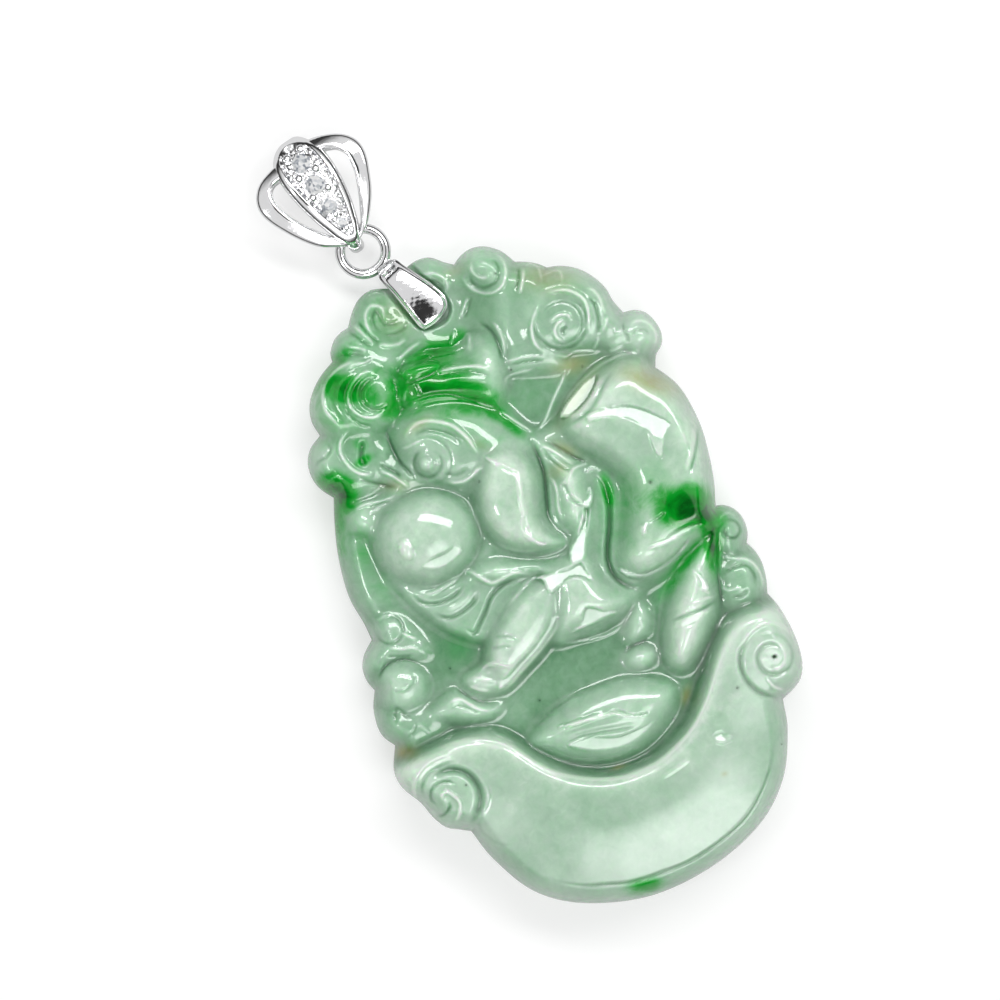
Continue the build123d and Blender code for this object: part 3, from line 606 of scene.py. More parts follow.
def carve_ingot(r):
    r.form([(-6.5, -10.4), (-5.5, -9.5), (-4, -8.9), (-2, -8.45), (0, -8.4), (2, -8.6), (3.5, -9.1),
            (4.7, -9.8), (5.4, -10.7), (5.2, -11.6), (4.5, -12.5), (3.5, -13.2), (2, -13.9), (0.5, -14.2),
            (-1, -14.1), (-2.5, -13.7), (-4, -12.9), (-5.4, -11.8)], 4.6, 7.0, 1.8, crown=0.5)
    ingot = [(-17.2, -8.6), (-14.5, -8.1), (-13, -7.95), (-11, -7.85), (-9.8, -8.05), (-8.6, -8.5),
             (-7.6, -9.2), (-6.8, -10.25), (-6, -11.5), (-5.1, -12.6), (-4, -13.6), (-2.8, -14.3),
             (-1.5, -14.8), (0, -15), (1.5, -14.95), (2.8, -14.6), (4, -14.1), (5, -13.5), (6, -12.6),
             (6.8, -11.7), (7.5, -10.9), (8.3, -9.9), (9.2, -9), (10.2, -8.2), (11.2, -7.8), (12.4, -7.75),
             (13.5, -7.95), (14.6, -8.3), (16.5, -9.5), (16.5, -14.5), (13, -18), (10, -23), (3, -27),
             (-4, -27), (-11, -23), (-14, -17), (-16.5, -14.5), (-18, -10)]
    r.form(ingot, 5.8, 8.6, 0.7, blend=0.15)
    # Its face falls gently to the line round its foot
    foot = [(-22, 4), (22, 4), (19, -11), (13.4, -14.5), *INGOT_FOOT[::-1], (-11.6, -17), (-14, -14.5),
                                                                            (-20, -11)]
    r.fall(ingot, foot, 0.85, 6.0)


print("the line round the ingot's foot spans", round(math.dist(INGOT_FOOT[0], INGOT_FOOT[-1]), 1), "mm")

# %% [markdown]
# Last come the fine lines. A polished ridge catches a white line of light, and the groove beside it
# goes dark green, so most of what the eye reads as drawing on jade is here. Each row is one stroke:
# its points, how high it lifts or how deep it cuts, and half its width.

# %% Ridges and grooves of the clouds
CLOUD_LINES = [
    # Top left lobe: its scroll, the hollow inside it, and its lower lip
    ([(-4.8, 20.8), (-5.15, 21.5), (-5.2, 22.4), (-4.95, 23.05), (-4.45, 23.45), (-3.95, 23.3),
      (-3.65, 22.9), (-3.75, 22.45), (-3.45, 22.15), (-3.1, 22.2)], 0.34, 0.36),
    ([(-4.3, 21.1), (-4.7, 21.9), (-4.6, 22.6), (-4.2, 22.95), (-4.1, 22.4), (-3.95, 21.8), (-3.3, 21.6),
      (-2.8, 21.8)], -0.34, 0.36),
    ([(-4.4, 21.2), (-3.6, 20.9), (-2.8, 21), (-2.3, 21.4)], -0.2, 0.3),
    ([(-5, 20.7), (-4.4, 20.3), (-3.6, 20.05), (-2.8, 20.3)], 0.3, 0.4),
    ([(-5.75, 22.9), (-5.5, 22), (-5.1, 21.1), (-4.9, 20.6)], -0.32, 0.3),
    # Small lobe: cuts that fan out from its root
    ([(-6.7, 22.5), (-6.1, 21.5), (-5.4, 20.5)], -0.3, 0.24),
    ([(-6.2, 22.8), (-5.7, 21.7), (-5.2, 20.7)], 0.22, 0.24),
    ([(-8.2, 21), (-7.2, 20.7), (-6, 20.2)], -0.3, 0.26),
    ([(-7.3, 21.5), (-6.6, 21), (-5.8, 20.45)], 0.2, 0.26),
    ([(-7.8, 21.2), (-7, 20.95), (-6.1, 20.5)], -0.2, 0.2),
    # Left cloud: outer lip, inner lip, scroll and its ball
    ([(-6.2, 19.9), (-7.6, 20.15), (-8.7, 20), (-9.7, 19.4), (-10.25, 18.5), (-10.4, 17.6), (-10.2, 16.9),
      (-10, 16.3), (-10, 15.6)], 0.34, 0.34),
    ([(-6, 19.5), (-7.4, 19.6), (-8.6, 19.4), (-9.4, 18.6), (-9.7, 17.6), (-9.5, 16.6),
      (-9, 15.7)], -0.12, 0.5),
    ([(-5.7, 19.9), (-6.3, 19.75), (-7.2, 19.9), (-8, 19.7)], 0.22, 0.22),
    ([(-5.6, 18.7), (-6.6, 19.1), (-7.8, 18.7), (-8.5, 17.9), (-8.6, 17.1), (-8.2, 16.3), (-7.4, 15.8),
      (-6.7, 15.8), (-6.3, 16.2)], 0.3, 0.28),
    ([(-5.4, 18.1), (-6.2, 18.4), (-7.1, 18.2), (-7.6, 17.6), (-7.6, 16.9), (-7.1, 16.3), (-6.4, 16.2),
      (-5.7, 16.6)], -0.26, 0.4),
    ([(-9, 17.4), (-8.9, 16.5), (-8.4, 15.7), (-7.6, 15.2)], -0.22, 0.24),
    ([(-5.3, 17.9), (-5, 17.5), (-5.1, 16.8), (-5.5, 16.3)], -0.3, 0.26),
    # Ball at the left shoulder
    ([(-11.2, 15.5), (-11.2, 14.9), (-11.7, 14.5), (-12.4, 14.4), (-12.8, 14)], -0.26, 0.26),
    ([(-12.6, 13.9), (-12.45, 13.4), (-11.9, 13.2), (-11.4, 13.5)], -0.22, 0.24),
    ([(-12.6, 12.95), (-12.2, 12.8), (-11.6, 12.9), (-11.2, 12.5)], 0.2, 0.2),
    ([(-12.7, 12.4), (-12, 12.2), (-11.3, 12.2)], -0.35, 0.5),
    # Top middle lobe
    ([(-0.3, 24), (0.4, 24), (1, 23.65), (1.35, 23.1), (1.3, 22.5), (1, 22.1)], 0.28, 0.28),
    ([(0, 23.5), (0.6, 23.3), (0.9, 22.8), (0.9, 22.3)], -0.25, 0.3),
    ([(1.2, 20), (1.7, 20.55), (2.4, 21.3)], 0.26, 0.2),
    ([(1.5, 19.9), (2, 20.4), (2.7, 21.2)], -0.2, 0.2),
    ([(-0.2, 18.5), (0.2, 18.9), (0.6, 19.5)], 0.26, 0.2),
    # Second lobe, a flat scroll
    ([(2.9, 23.3), (2.6, 22.5), (2.8, 21.8), (3.3, 21.2), (4.1, 20.8), (5, 21), (5.6, 21.7), (5.8, 22.6),
      (5.5, 23.3), (4.8, 23.6)], 0.28, 0.26),
    ([(3.2, 22.9), (3.1, 22), (3.7, 21.4), (4.6, 21.4), (5.2, 22), (5.2, 22.8), (4.6, 23.2)], -0.24, 0.32),
    ([(3.65, 23.7), (3.4, 23), (3.5, 22.5), (3.9, 22.05), (4.5, 22)], 0.26, 0.22),
    # Ribs between the second lobe and the right cloud
    ([(5.9, 19.9), (6.5, 20.7), (7, 21.7)], 0.3, 0.22),
    ([(5.7, 20.2), (6.3, 21), (6.7, 21.9)], -0.28, 0.2),
    ([(7, 21.7), (7.5, 21.8), (7.95, 21.4), (7.9, 20.7), (7.7, 20)], 0.24, 0.2),
    ([(7.6, 20.4), (8.4, 20.6), (9.2, 20.5), (9.3, 20), (9, 19.3)], 0.22, 0.2),
    # Right cloud: broken outer ring, then a double hook at its heart
    ([(7.5, 19.3), (8.9, 19), (9.7, 18.4), (10.1, 17.6), (10, 16.7), (9.6, 15.9), (9, 15.2)], 0.34, 0.32),
    ([(7.2, 18.8), (6.5, 18.3), (5.9, 17.5), (5.55, 16.6), (5.65, 15.8), (6.1, 15.1)], 0.34, 0.32),
    (spiral(7.9, 16.85, 2.05, 1.85, 95, 0.9), -0.2, 0.3),
    (spiral(7.9, 16.85, 1.6, 1.45, 200, 0.85), -0.14, 0.16),
    ([(8.6, 16.6), (8.6, 17.1), (8.2, 17.35), (7.6, 17.35), (7.05, 17.1)], 0.3, 0.24),
    ([(8.3, 16.9), (7.7, 16.9), (7.25, 16.5), (7.2, 15.9), (7.7, 15.3)], 0.3, 0.24),
    ([(8.3, 16.4), (7.8, 16.3), (7.7, 15.9)], -0.26, 0.26),
    ([(10.4, 18.5), (11, 18.1), (11.2, 17.3), (11.1, 16.7), (11.2, 16)], 0.26, 0.26),
    ([(10.4, 17.9), (10.7, 17.2), (10.6, 16.4), (10.4, 15.6), (9.9, 14.9)], -0.3, 0.3),
    ([(10.4, 15), (10.9, 15.5), (11.3, 16)], 0.2, 0.18),
    ([(9.3, 14.1), (9.7, 14.4), (10.1, 14.8)], 0.22, 0.18),
    # Low right cloud and the small ball beside it
    ([(12.1, 14.3), (12.7, 14.8), (13.4, 14.7), (13.9, 14.1), (14, 13.4), (13.7, 12.8),
      (13.2, 12.6)], 0.26, 0.26),
    ([(12.2, 13.8), (12.7, 14.2), (13.3, 14), (13.5, 13.4)], -0.2, 0.28),
    ([(11.4, 15), (11.3, 14.65), (11.8, 14.6), (11.9, 14.2)], 0.2, 0.16),
    ([(11.8, 13.5), (12, 14), (11.9, 14.6), (12.2, 15.2)], -0.26, 0.24),
    # Lines under the right cloud
    ([(6.5, 14.9), (7.3, 14.4), (7.9, 14.5), (8.8, 14.2), (9.7, 13.8)], 0.24, 0.16),
    ([(10.2, 13.6), (10.8, 13.45), (11.5, 13.5)], 0.2, 0.16),
    ([(2.9, 15.8), (4.3, 15.6), (6, 15.05)], 0.22, 0.14),
    ([(3.1, 15.5), (4.4, 15.25), (5.7, 14.85)], -0.22, 0.14),
]

CREST_LINES = [
    # Bright ribs that sweep back from the brow
    ([(-2.2, 17.1), (-0.6, 16.85), (0.9, 16.35), (1.9, 15.7)], 0.42, 0.3),
    ([(-2, 16.75), (-0.4, 16.45), (0.9, 15.85), (1.7, 15.3)], -0.16, 0.36),
    ([(-1.6, 16.35), (-0.5, 16), (0.6, 15.4), (1.5, 14.9)], 0.1, 0.3),
    # Line of dots along the head
    ([(-6.4, 14.4), (-5.3, 15.5), (-4.3, 15.75), (-2.9, 15.65), (-1.6, 15.2), (-0.8, 14.6), (0, 14),
      (0.7, 13.5)], -0.18, 0.24),
    # Oval bump and the feathered rib above it
    ([(-4.5, 17.2), (-3.4, 17.05), (-2.2, 17.1), (-1.3, 17.5)], -0.3, 0.24),
    ([(-4.9, 17.8), (-4.1, 18.45), (-3, 18.4), (-1.6, 18.3)], -0.32, 0.26),
    ([(-4.3, 18.85), (-3.4, 19.25), (-2.6, 19.5), (-1.8, 19.6)], 0.4, 0.36),
    ([(-4.9, 15.9), (-4.6, 16.5), (-4.2, 16.75)], 0.26, 0.2),
    ([(-3.65, 17), (-3.55, 16.4), (-3.6, 15.9)], -0.18, 0.16),
    # Right end of the crest
    ([(0.9, 17.4), (1.2, 18.1), (1.5, 18.9)], 0.2, 0.5),
    ([(3.3, 19.1), (3.5, 18), (3.45, 17), (3.1, 16)], 0.3, 0.24),
    ([(2.3, 19.4), (3, 18.3), (3.05, 17), (2.8, 15.8)], -0.3, 0.32),
    # Edges of the coin
    ([(2.4, 14.1), (2.6, 14.6), (3.2, 14.75), (4.9, 14.45)], 0.22, 0.16),
    ([(3, 10.2), (4, 10.7), (5.2, 11.9), (6.3, 12.9), (7, 13.6)], 0.42, 0.2),
    ([(1.2, 12.8), (1.8, 11.9), (2.4, 11), (3, 10.2)], 0.36, 0.2),
]
print("strokes of the clouds:", len(CLOUD_LINES), "and of the crest:", len(CREST_LINES))

# %% [markdown]
# The pig's own lines: brow, eye, cheek, the long bright line down its ear, the folds of skin where
# body, thigh and chest meet, and the cleft of each hoof.

# %% Ridges and grooves of the pig
HEAD_LINES = [
    ([(-6, 13.2), (-5.6, 13.8), (-4.8, 14.15), (-4, 14.1), (-3.2, 13.7), (-2.4, 13.1), (-1.9, 12.3),
      (-1.6, 11.5), (-1.5, 10.9), (-1.2, 10.3)], 0.4, 0.36),
    ([(-5.4, 13.3), (-4.4, 13.5), (-3.3, 13), (-2.5, 12.2), (-2.2, 11.3)], -0.26, 0.5),
    (spiral(-5.05, 11.2, 1, 1, 60, -1), -0.2, 0.4),
    (spiral(-5.05, 11.3, 1.85, 1.75, 120, -0.62), -0.1, 0.4),
    ([(-6.5, 13), (-6, 12.85), (-5.2, 12.9), (-4.6, 12.9)], 0.16, 0.2),
    ([(-4.4, 9.6), (-3.9, 9.15), (-3.2, 8.95), (-2.5, 9.05), (-1.9, 9.35), (-1.3, 9.4)], 0.32, 0.3),
    ([(-4.4, 10.1), (-3.4, 9.6), (-2.4, 9.7)], -0.16, 0.4),
    ([(-6.9, 14.9), (-7, 13.6), (-6.9, 12.2), (-6.5, 11), (-6.2, 10.2)], -0.34, 0.3),
    # Ear
    ([(-1.2, 10.3), (-0.6, 9.5), (-0.1, 8.8), (0.6, 8), (0.5, 7.2), (0.2, 6.2), (0, 5.1), (-0.3, 4.3),
      (-0.4, 3.6), (-0.1, 2.9), (0.6, 2.25)], 0.34, 0.42),
    ([(2.5, 10.2), (2.55, 8.4), (2.4, 7), (1.9, 5.4), (1.55, 4.2), (1.7, 3.2)], -0.5, 0.42),
    ([(-2.9, 4.2), (-2.2, 3.3), (-1.2, 2.6), (0.2, 2.1)], 0.16, 0.24),
    # Mane: a curl, the pit in it, and the strand that runs to the cheek
    ([(-9.2, 15.6), (-10.2, 15.2), (-10.6, 14.3), (-10.4, 13.2), (-9.9, 12.45), (-9.3, 12.1),
      (-8.7, 12.1)], 0.38, 0.34),
    ([(-8.7, 14.6), (-9.2, 13.8), (-9.4, 13.2), (-9, 12.8)], -0.55, 0.42),
    ([(-8.6, 12.1), (-8, 11.6), (-7.4, 10.8), (-6.95, 10)], 0.34, 0.26),
    ([(-8.4, 12.6), (-7.7, 11.8), (-7.1, 11)], -0.28, 0.28),
    ([(-10.1, 12.1), (-8.9, 11.2), (-7.8, 10.4)], -0.26, 0.26),
    # Plume
    ([(-11.5, 10.1), (-10.8, 10.25), (-10, 10.15), (-9, 9.95), (-7.7, 9.95)], 0.26, 0.2),
    ([(-10.4, 9.35), (-9.6, 9.65), (-8.8, 9.65)], 0.18, 0.18),
    ([(-10.4, 9.8), (-9.6, 9.9), (-8.6, 9.8)], -0.2, 0.16),
]

BODY_LINES = [
    # Chin folds and the crest of the chest
    ([(-9.9, 3), (-9.3, 1.95), (-8.2, 1.5), (-6.9, 1.6), (-5.9, 2.1)], -0.3, 0.32),
    ([(-9.2, 2.6), (-8.4, 2.35), (-7.2, 2.5), (-6, 2.7)], 0.2, 0.26),
    ([(-8.9, 1), (-8.2, 0.3), (-7.2, 0.2), (-5.9, 0.6), (-5.2, 1.3)], -0.3, 0.32),
    ([(-8.2, 0.9), (-7.2, 0.85), (-6.2, 1.1), (-5.6, 1.6)], 0.14, 0.26),
    ([(-7.4, -0.6), (-6.8, -1.5), (-6.3, -1.2), (-5.3, -0.3), (-4.5, 0.5), (-3.2, 0.95),
      (-1.8, 0.9)], -0.36, 0.34),
    ([(-6, 2.9), (-5.5, 2.85), (-5.1, 2.55), (-4.7, 1.9), (-4.2, 1.35), (-3.5, 1.3), (-2.5, 1.4),
      (-1.8, 1.15), (-1, 0.6)], 0.32, 0.3),
    # Folds between ear, back and thigh
    ([(3, 9.3), (3.7, 8.5), (4.4, 7.5), (4.9, 6.9)], 0.34, 0.26),
    ([(3.4, 9.5), (4.3, 8.4), (5.1, 7.3), (5.8, 6.6)], -0.34, 0.24),
    ([(3.1, 9), (3.3, 8), (3.9, 7), (4.6, 6.5)], -0.26, 0.26),
    ([(3.1, 6), (3.9, 6.1), (4.6, 6.7), (5.8, 6.6)], 0.26, 0.22),
    ([(2.6, 7.1), (2.85, 6.4), (2.8, 5.6), (2.45, 4.5), (2.3, 3.3)], 0.28, 0.22),
    ([(3.2, 5.8), (3.5, 5.1), (4.1, 4.3), (4.2, 3.6), (3.3, 2.6), (2.3, 1.6), (1.9, 1.1)], 0.22, 0.3),
    ([(4, 3.8), (3.2, 2.6), (2.2, 1.3)], -0.16, 0.2),
    # Channel between body and thigh
    ([(5.6, 5.9), (6.1, 5.2), (6.15, 4.4), (5.9, 3.2), (5.3, 1.7), (4.6, 0.4), (4.2, -0.8), (4.4, -2),
      (5.1, -2.9), (6.2, -3.4)], -0.8, 0.5),
    ([(5.2, 6), (5.8, 6.2), (6.4, 5.8)], 0.2, 0.2),
    # Edge of the thigh, tail along the rim, and the leaf above the rump
    ([(14.3, 6.3), (13.7, 5.1), (13, 4.1), (12.1, 2.9)], -0.3, 0.2),
    ([(14, 6.4), (13.4, 5.2), (12.6, 4.1), (11.9, 3.3)], 0.16, 0.3),
    ([(5, 10.3), (6.2, 11.6), (7.8, 12.4), (9.6, 12.95), (11.4, 12.9), (13, 12.3)], 0.24, 0.24),
    ([(5.2, 10.2), (6.6, 10.35), (7.8, 11.2), (9.2, 12.2)], 0.2, 0.5),
    ([(4.9, 9.8), (6.2, 9.8), (7.6, 10.3), (9.2, 11.6), (10.4, 12.3)], -0.2, 0.4),
]

LEG_LINES = [
    ([(-7.3, -6.1), (-6, -6.05), (-4.6, -5.4), (-3.1, -4.7), (-1.7, -3.9), (-0.6, -3)], 0.36, 0.34),
    ([(-7.8, -4.4), (-7, -4.05), (-6.2, -4.1), (-5.6, -4.6), (-5.1, -5.1)], 0.26, 0.22),
    ([(-8.7, -4.8), (-8, -5.5), (-7.2, -5.9)], 0.24, 0.2),
    ([(-3.9, -0.7), (-2.9, -0.2), (-1.8, 0.35), (-0.9, 0.5)], 0.2, 0.26),
    ([(-5.7, -2.3), (-5, -2.5), (-4.4, -2.8), (-4.1, -3.2)], -0.14, 0.24),
    ([(-6.1, -3), (-5.3, -3.2), (-4.5, -3.5)], -0.14, 0.22),
    ([(-7, -3.9), (-6.3, -4.1), (-5.7, -4.5), (-4.9, -4.85)], 0.24, 0.22),
    ([(-8.2, -4.3), (-7.6, -4.8), (-6.6, -5.4)], 0.14, 0.24),
    ([(-9.6, -4.6), (-9.1, -5.4), (-8.4, -6.2), (-7.6, -6.6)], -0.3, 0.22),
    ([(-10.7, -5.6), (-9.9, -5.4), (-9.4, -5.7), (-8.9, -6.4), (-8.4, -6.9), (-7.7, -7.2)], 0.3, 0.26),
    ([(-10.6, -6), (-9.9, -5.9), (-9.3, -6.4), (-8.6, -7.1)], -0.18, 0.24),
    # Belly fold over the deep ground, knee and hock
    ([(-1.6, -4.6), (0.5, -5.2), (2.4, -5.4), (3.6, -5.1)], 0.16, 0.16),
    ([(8, -5.95), (8.8, -5.75), (9.6, -5.75), (10.5, -5.9)], 0.2, 0.2),
    ([(6.6, -6.35), (7.8, -6.3), (9, -6.35), (10.6, -6.25)], -0.34, 0.26),
    ([(6.3, -6.8), (7.6, -6.75), (9, -6.75), (10.3, -6.7)], 0.14, 0.2),
    ([(10.4, -3), (9.9, -3.8), (9.2, -4.9), (8.4, -5.8)], 0.22, 0.3),
    ([(9.5, -4.9), (9.9, -5.1), (10.2, -5.7)], 0.2, 0.18),
    ([(12.9, -0.6), (12.2, -2.4), (11.4, -4.2), (10.9, -5.9), (10.4, -7.4)], -0.3, 0.24),
    ([(4.7, -5.1), (4.75, -6.1)], 0.16, 0.2),
    ([(3.3, -7.6), (4.1, -7.95)], 0.1, 0.2),
    ([(2.9, -6.95), (3.8, -6.9), (4.8, -6.9)], -0.3, 0.22),
]
print("strokes of head, body and legs:", len(HEAD_LINES), len(BODY_LINES), len(LEG_LINES))

# %% [markdown]
# The ingot's long face is nearly flat, with a bright lip along its upper edge. Its two scrolls are
# spirals cut with a dark crescent, and the side curls are smaller copies of them.

# %% Ridges and grooves of the lower half
LOWER_LINES = [
    # Lip of the ingot
    ([(-15.2, -9), (-13.6, -8.3), (-12, -8.15), (-10.5, -8.35), (-9.2, -8.85), (-8, -9.65), (-7.1, -10.7),
      (-6.3, -11.9), (-5.3, -13.05), (-4, -14), (-2.5, -14.8), (-1, -15.3), (0.5, -15.45), (2, -15.3),
      (3.5, -14.8), (5, -14.1), (6.2, -13.2), (7.4, -12), (8.4, -10.8), (9.5, -9.6), (10.5, -8.8),
      (11.4, -8.4)], 0.3, 0.22),
    # Left scroll
    ([(-11.5, -9), (-12.4, -8.8), (-13.5, -8.85), (-14.4, -9.25), (-15.1, -9.95), (-15.4, -10.8),
      (-15.3, -11.6)], 0.42, 0.24),
    ([(-11.4, -9.5), (-12.6, -9.4), (-13.8, -9.6), (-14.6, -10.3), (-14.8, -11.2)], -0.24, 0.3),
    ([(-14, -10.1), (-13, -9.85), (-12, -10), (-11.2, -10.7), (-10.85, -11.8), (-11.1, -12.9),
      (-11.9, -13.8), (-12.8, -14.3)], -0.9, 0.62),
    ([(-14, -12.1), (-14.35, -11.5), (-14.1, -10.8), (-13.4, -10.5), (-12.6, -10.7),
      (-12.2, -11.4)], -0.3, 0.26),
    ([(-13.6, -12.1), (-13.5, -11.4), (-13.1, -11.25), (-12.7, -11.8), (-12.5, -12.4), (-12.8, -13.1),
      (-13.6, -13.8)], 0.46, 0.24),
    ([(-14.6, -12.8), (-13.9, -12.8), (-13.3, -12.4), (-13.2, -12)], -0.3, 0.28),
    ([(-10.3, -11.2), (-10.2, -12.4), (-10.7, -13.4), (-11.9, -14.5), (-11.5, -15.8), (-10.6, -16.6),
      (-9.4, -16.8)], -0.1, 0.2),
    # Right scroll
    ([(10.6, -10.1), (11.4, -9.4), (12.4, -9.05), (13.5, -9.2), (14.3, -10.1), (14.5, -11.2)], 0.26, 0.28),
    ([(11.7, -9.6), (10.6, -10.3), (10.1, -11.4), (10.2, -12.6), (10.8, -13.7), (12, -14.6)], -0.55, 0.42),
    (spiral(12.55, -11.55, 1.75, 0.75, 110, -1.35), -0.3, 0.32),
    ([(11.5, -12.7), (11.8, -13.6), (12.5, -14.2)], 0.3, 0.24),
    ([(13.2, -10.5), (13.5, -11.4), (13.2, -12.2), (12.5, -12.5), (12.1, -12.1)], 0.22, 0.24),
    ([(12.6, -11.45), (12.7, -11.7)], -0.9, 0.26),
    ([(11.6, -11.4), (12.2, -11.35)], 0.14, 0.16),
    # Flat of the ingot: soft bends, and the line engraved round its foot
    ([(1.6, -16.5), (2.8, -16.3), (4.2, -15.95)], 0.1, 0.24),
    (INGOT_FOOT, -0.3, 0.22),
    ([(6.3, -15.3), (7, -15.6), (7.6, -15.8)], 0.12, 0.4),
    # Mound
    ([(-4.4, -10.5), (-2.6, -10.5), (-0.8, -10.6), (0.4, -10.8), (1.3, -11.4), (2.9, -11.9)], 0.22, 0.36),
    ([(-4.2, -11.2), (-1.8, -11.5), (0.4, -12), (2.2, -12.4)], -0.12, 0.5),
    # Left curls
    (spiral(-12.4, 1.1, 1.05, 0.95, 80, -0.8), -0.2, 0.28),
    ([(-13, 2.05), (-12.4, 2.2), (-11.7, 2.1)], 0.16, 0.2),
    ([(-11.7, 0.7), (-11.3, 0.2), (-10.7, -0.35)], 0.3, 0.2),
    ([(-13, 0), (-12.2, -0.5), (-11.3, -0.75), (-10.9, -1.2)], 0.24, 0.22),
    ([(-13.4, -0.5), (-12.4, -1), (-11.4, -1.3)], -0.2, 0.24),
    ([(-14.7, -2.2), (-14, -1.4), (-13.1, -1.1), (-12, -1.4), (-11.1, -2.1)], -0.34, 0.28),
    (spiral(-13, -2.75, 1, 1, 200, 0.55, 0.6), -0.12, 0.24),
    ([(-14.7, -5.7), (-14.4, -4.8), (-14.1, -4.35), (-13.8, -4.9), (-13.3, -5.7)], -0.14, 0.26),
    ([(-14.4, -6.7), (-13.6, -6.4), (-13.2, -5.9)], -0.12, 0.26),
    ([(-13.2, -5.9), (-12.8, -6.6), (-12.5, -7.2)], 0.12, 0.2),
    # Right curls
    ([(12.7, -1), (13.2, -0.7), (13.8, -0.7), (14.2, -1.3)], 0.22, 0.22),
    (spiral(13.4, -1.95, 0.9, 0.35, 160, -1.2), -0.26, 0.26),
    ([(11.8, -3.1), (12.6, -3.8), (13.6, -4.3), (14.1, -5.1), (14.15, -6.2), (13.7, -7)], 0.3, 0.26),
    ([(11.4, -4.8), (12.4, -4.5), (13.4, -4.7), (13.7, -5.6), (13.4, -6.5)], -0.24, 0.28),
    ([(11, -5.3), (11.5, -5.9), (12.2, -6), (12.6, -6.2)], 0.24, 0.2),
    ([(11.5, -6.4), (12.2, -6.6), (13, -6.4)], -0.2, 0.24),
]
print("strokes of the lower half:", len(LOWER_LINES))

# %% [markdown]
# The strokes are cut in the order of the tables, and a few small domes that no line can make stand
# between them. Then come the flats that the polishing wheel left. Each one tilts evenly towards a
# lamp or the glow, so it shines as one clean patch, as it does on the real stone.

# %% Small domes and polished flats
FINE_LINES = CLOUD_LINES + CREST_LINES + HEAD_LINES + BODY_LINES + LEG_LINES + LOWER_LINES
# The tables were drawn bold, and all strokes were then eased together
LINE_LIFT = 0.62
LINE_WIDTH = 0.75
# Each row: x, y, half size across and along, turn in degrees, foot, top
SMALL_DOMES = [
    (-2.9, 17.6, 1.45, 0.5, -8, 6.9, 7.5), (-6.45, 17.3, 0.72, 0.72, 0, 6.2, 7.2),
    (-8, 13.3, 0.85, 1.05, -20, 5.9, 6.6), (-9.6, 14.9, 0.8, 0.6, 30, 6, 6.7),
    (-5.05, 11.2, 0.66, 0.62, 0, 7.2, 7.95), (-8.85, 6.05, 0.55, 0.85, 0, 8.2, 8.62),
    (-12.4, 1.1, 0.72, 0.6, 0, 5.7, 6.5), (-14.1, -5.1, 0.5, 0.6, 0, 5.5, 6.2),
]
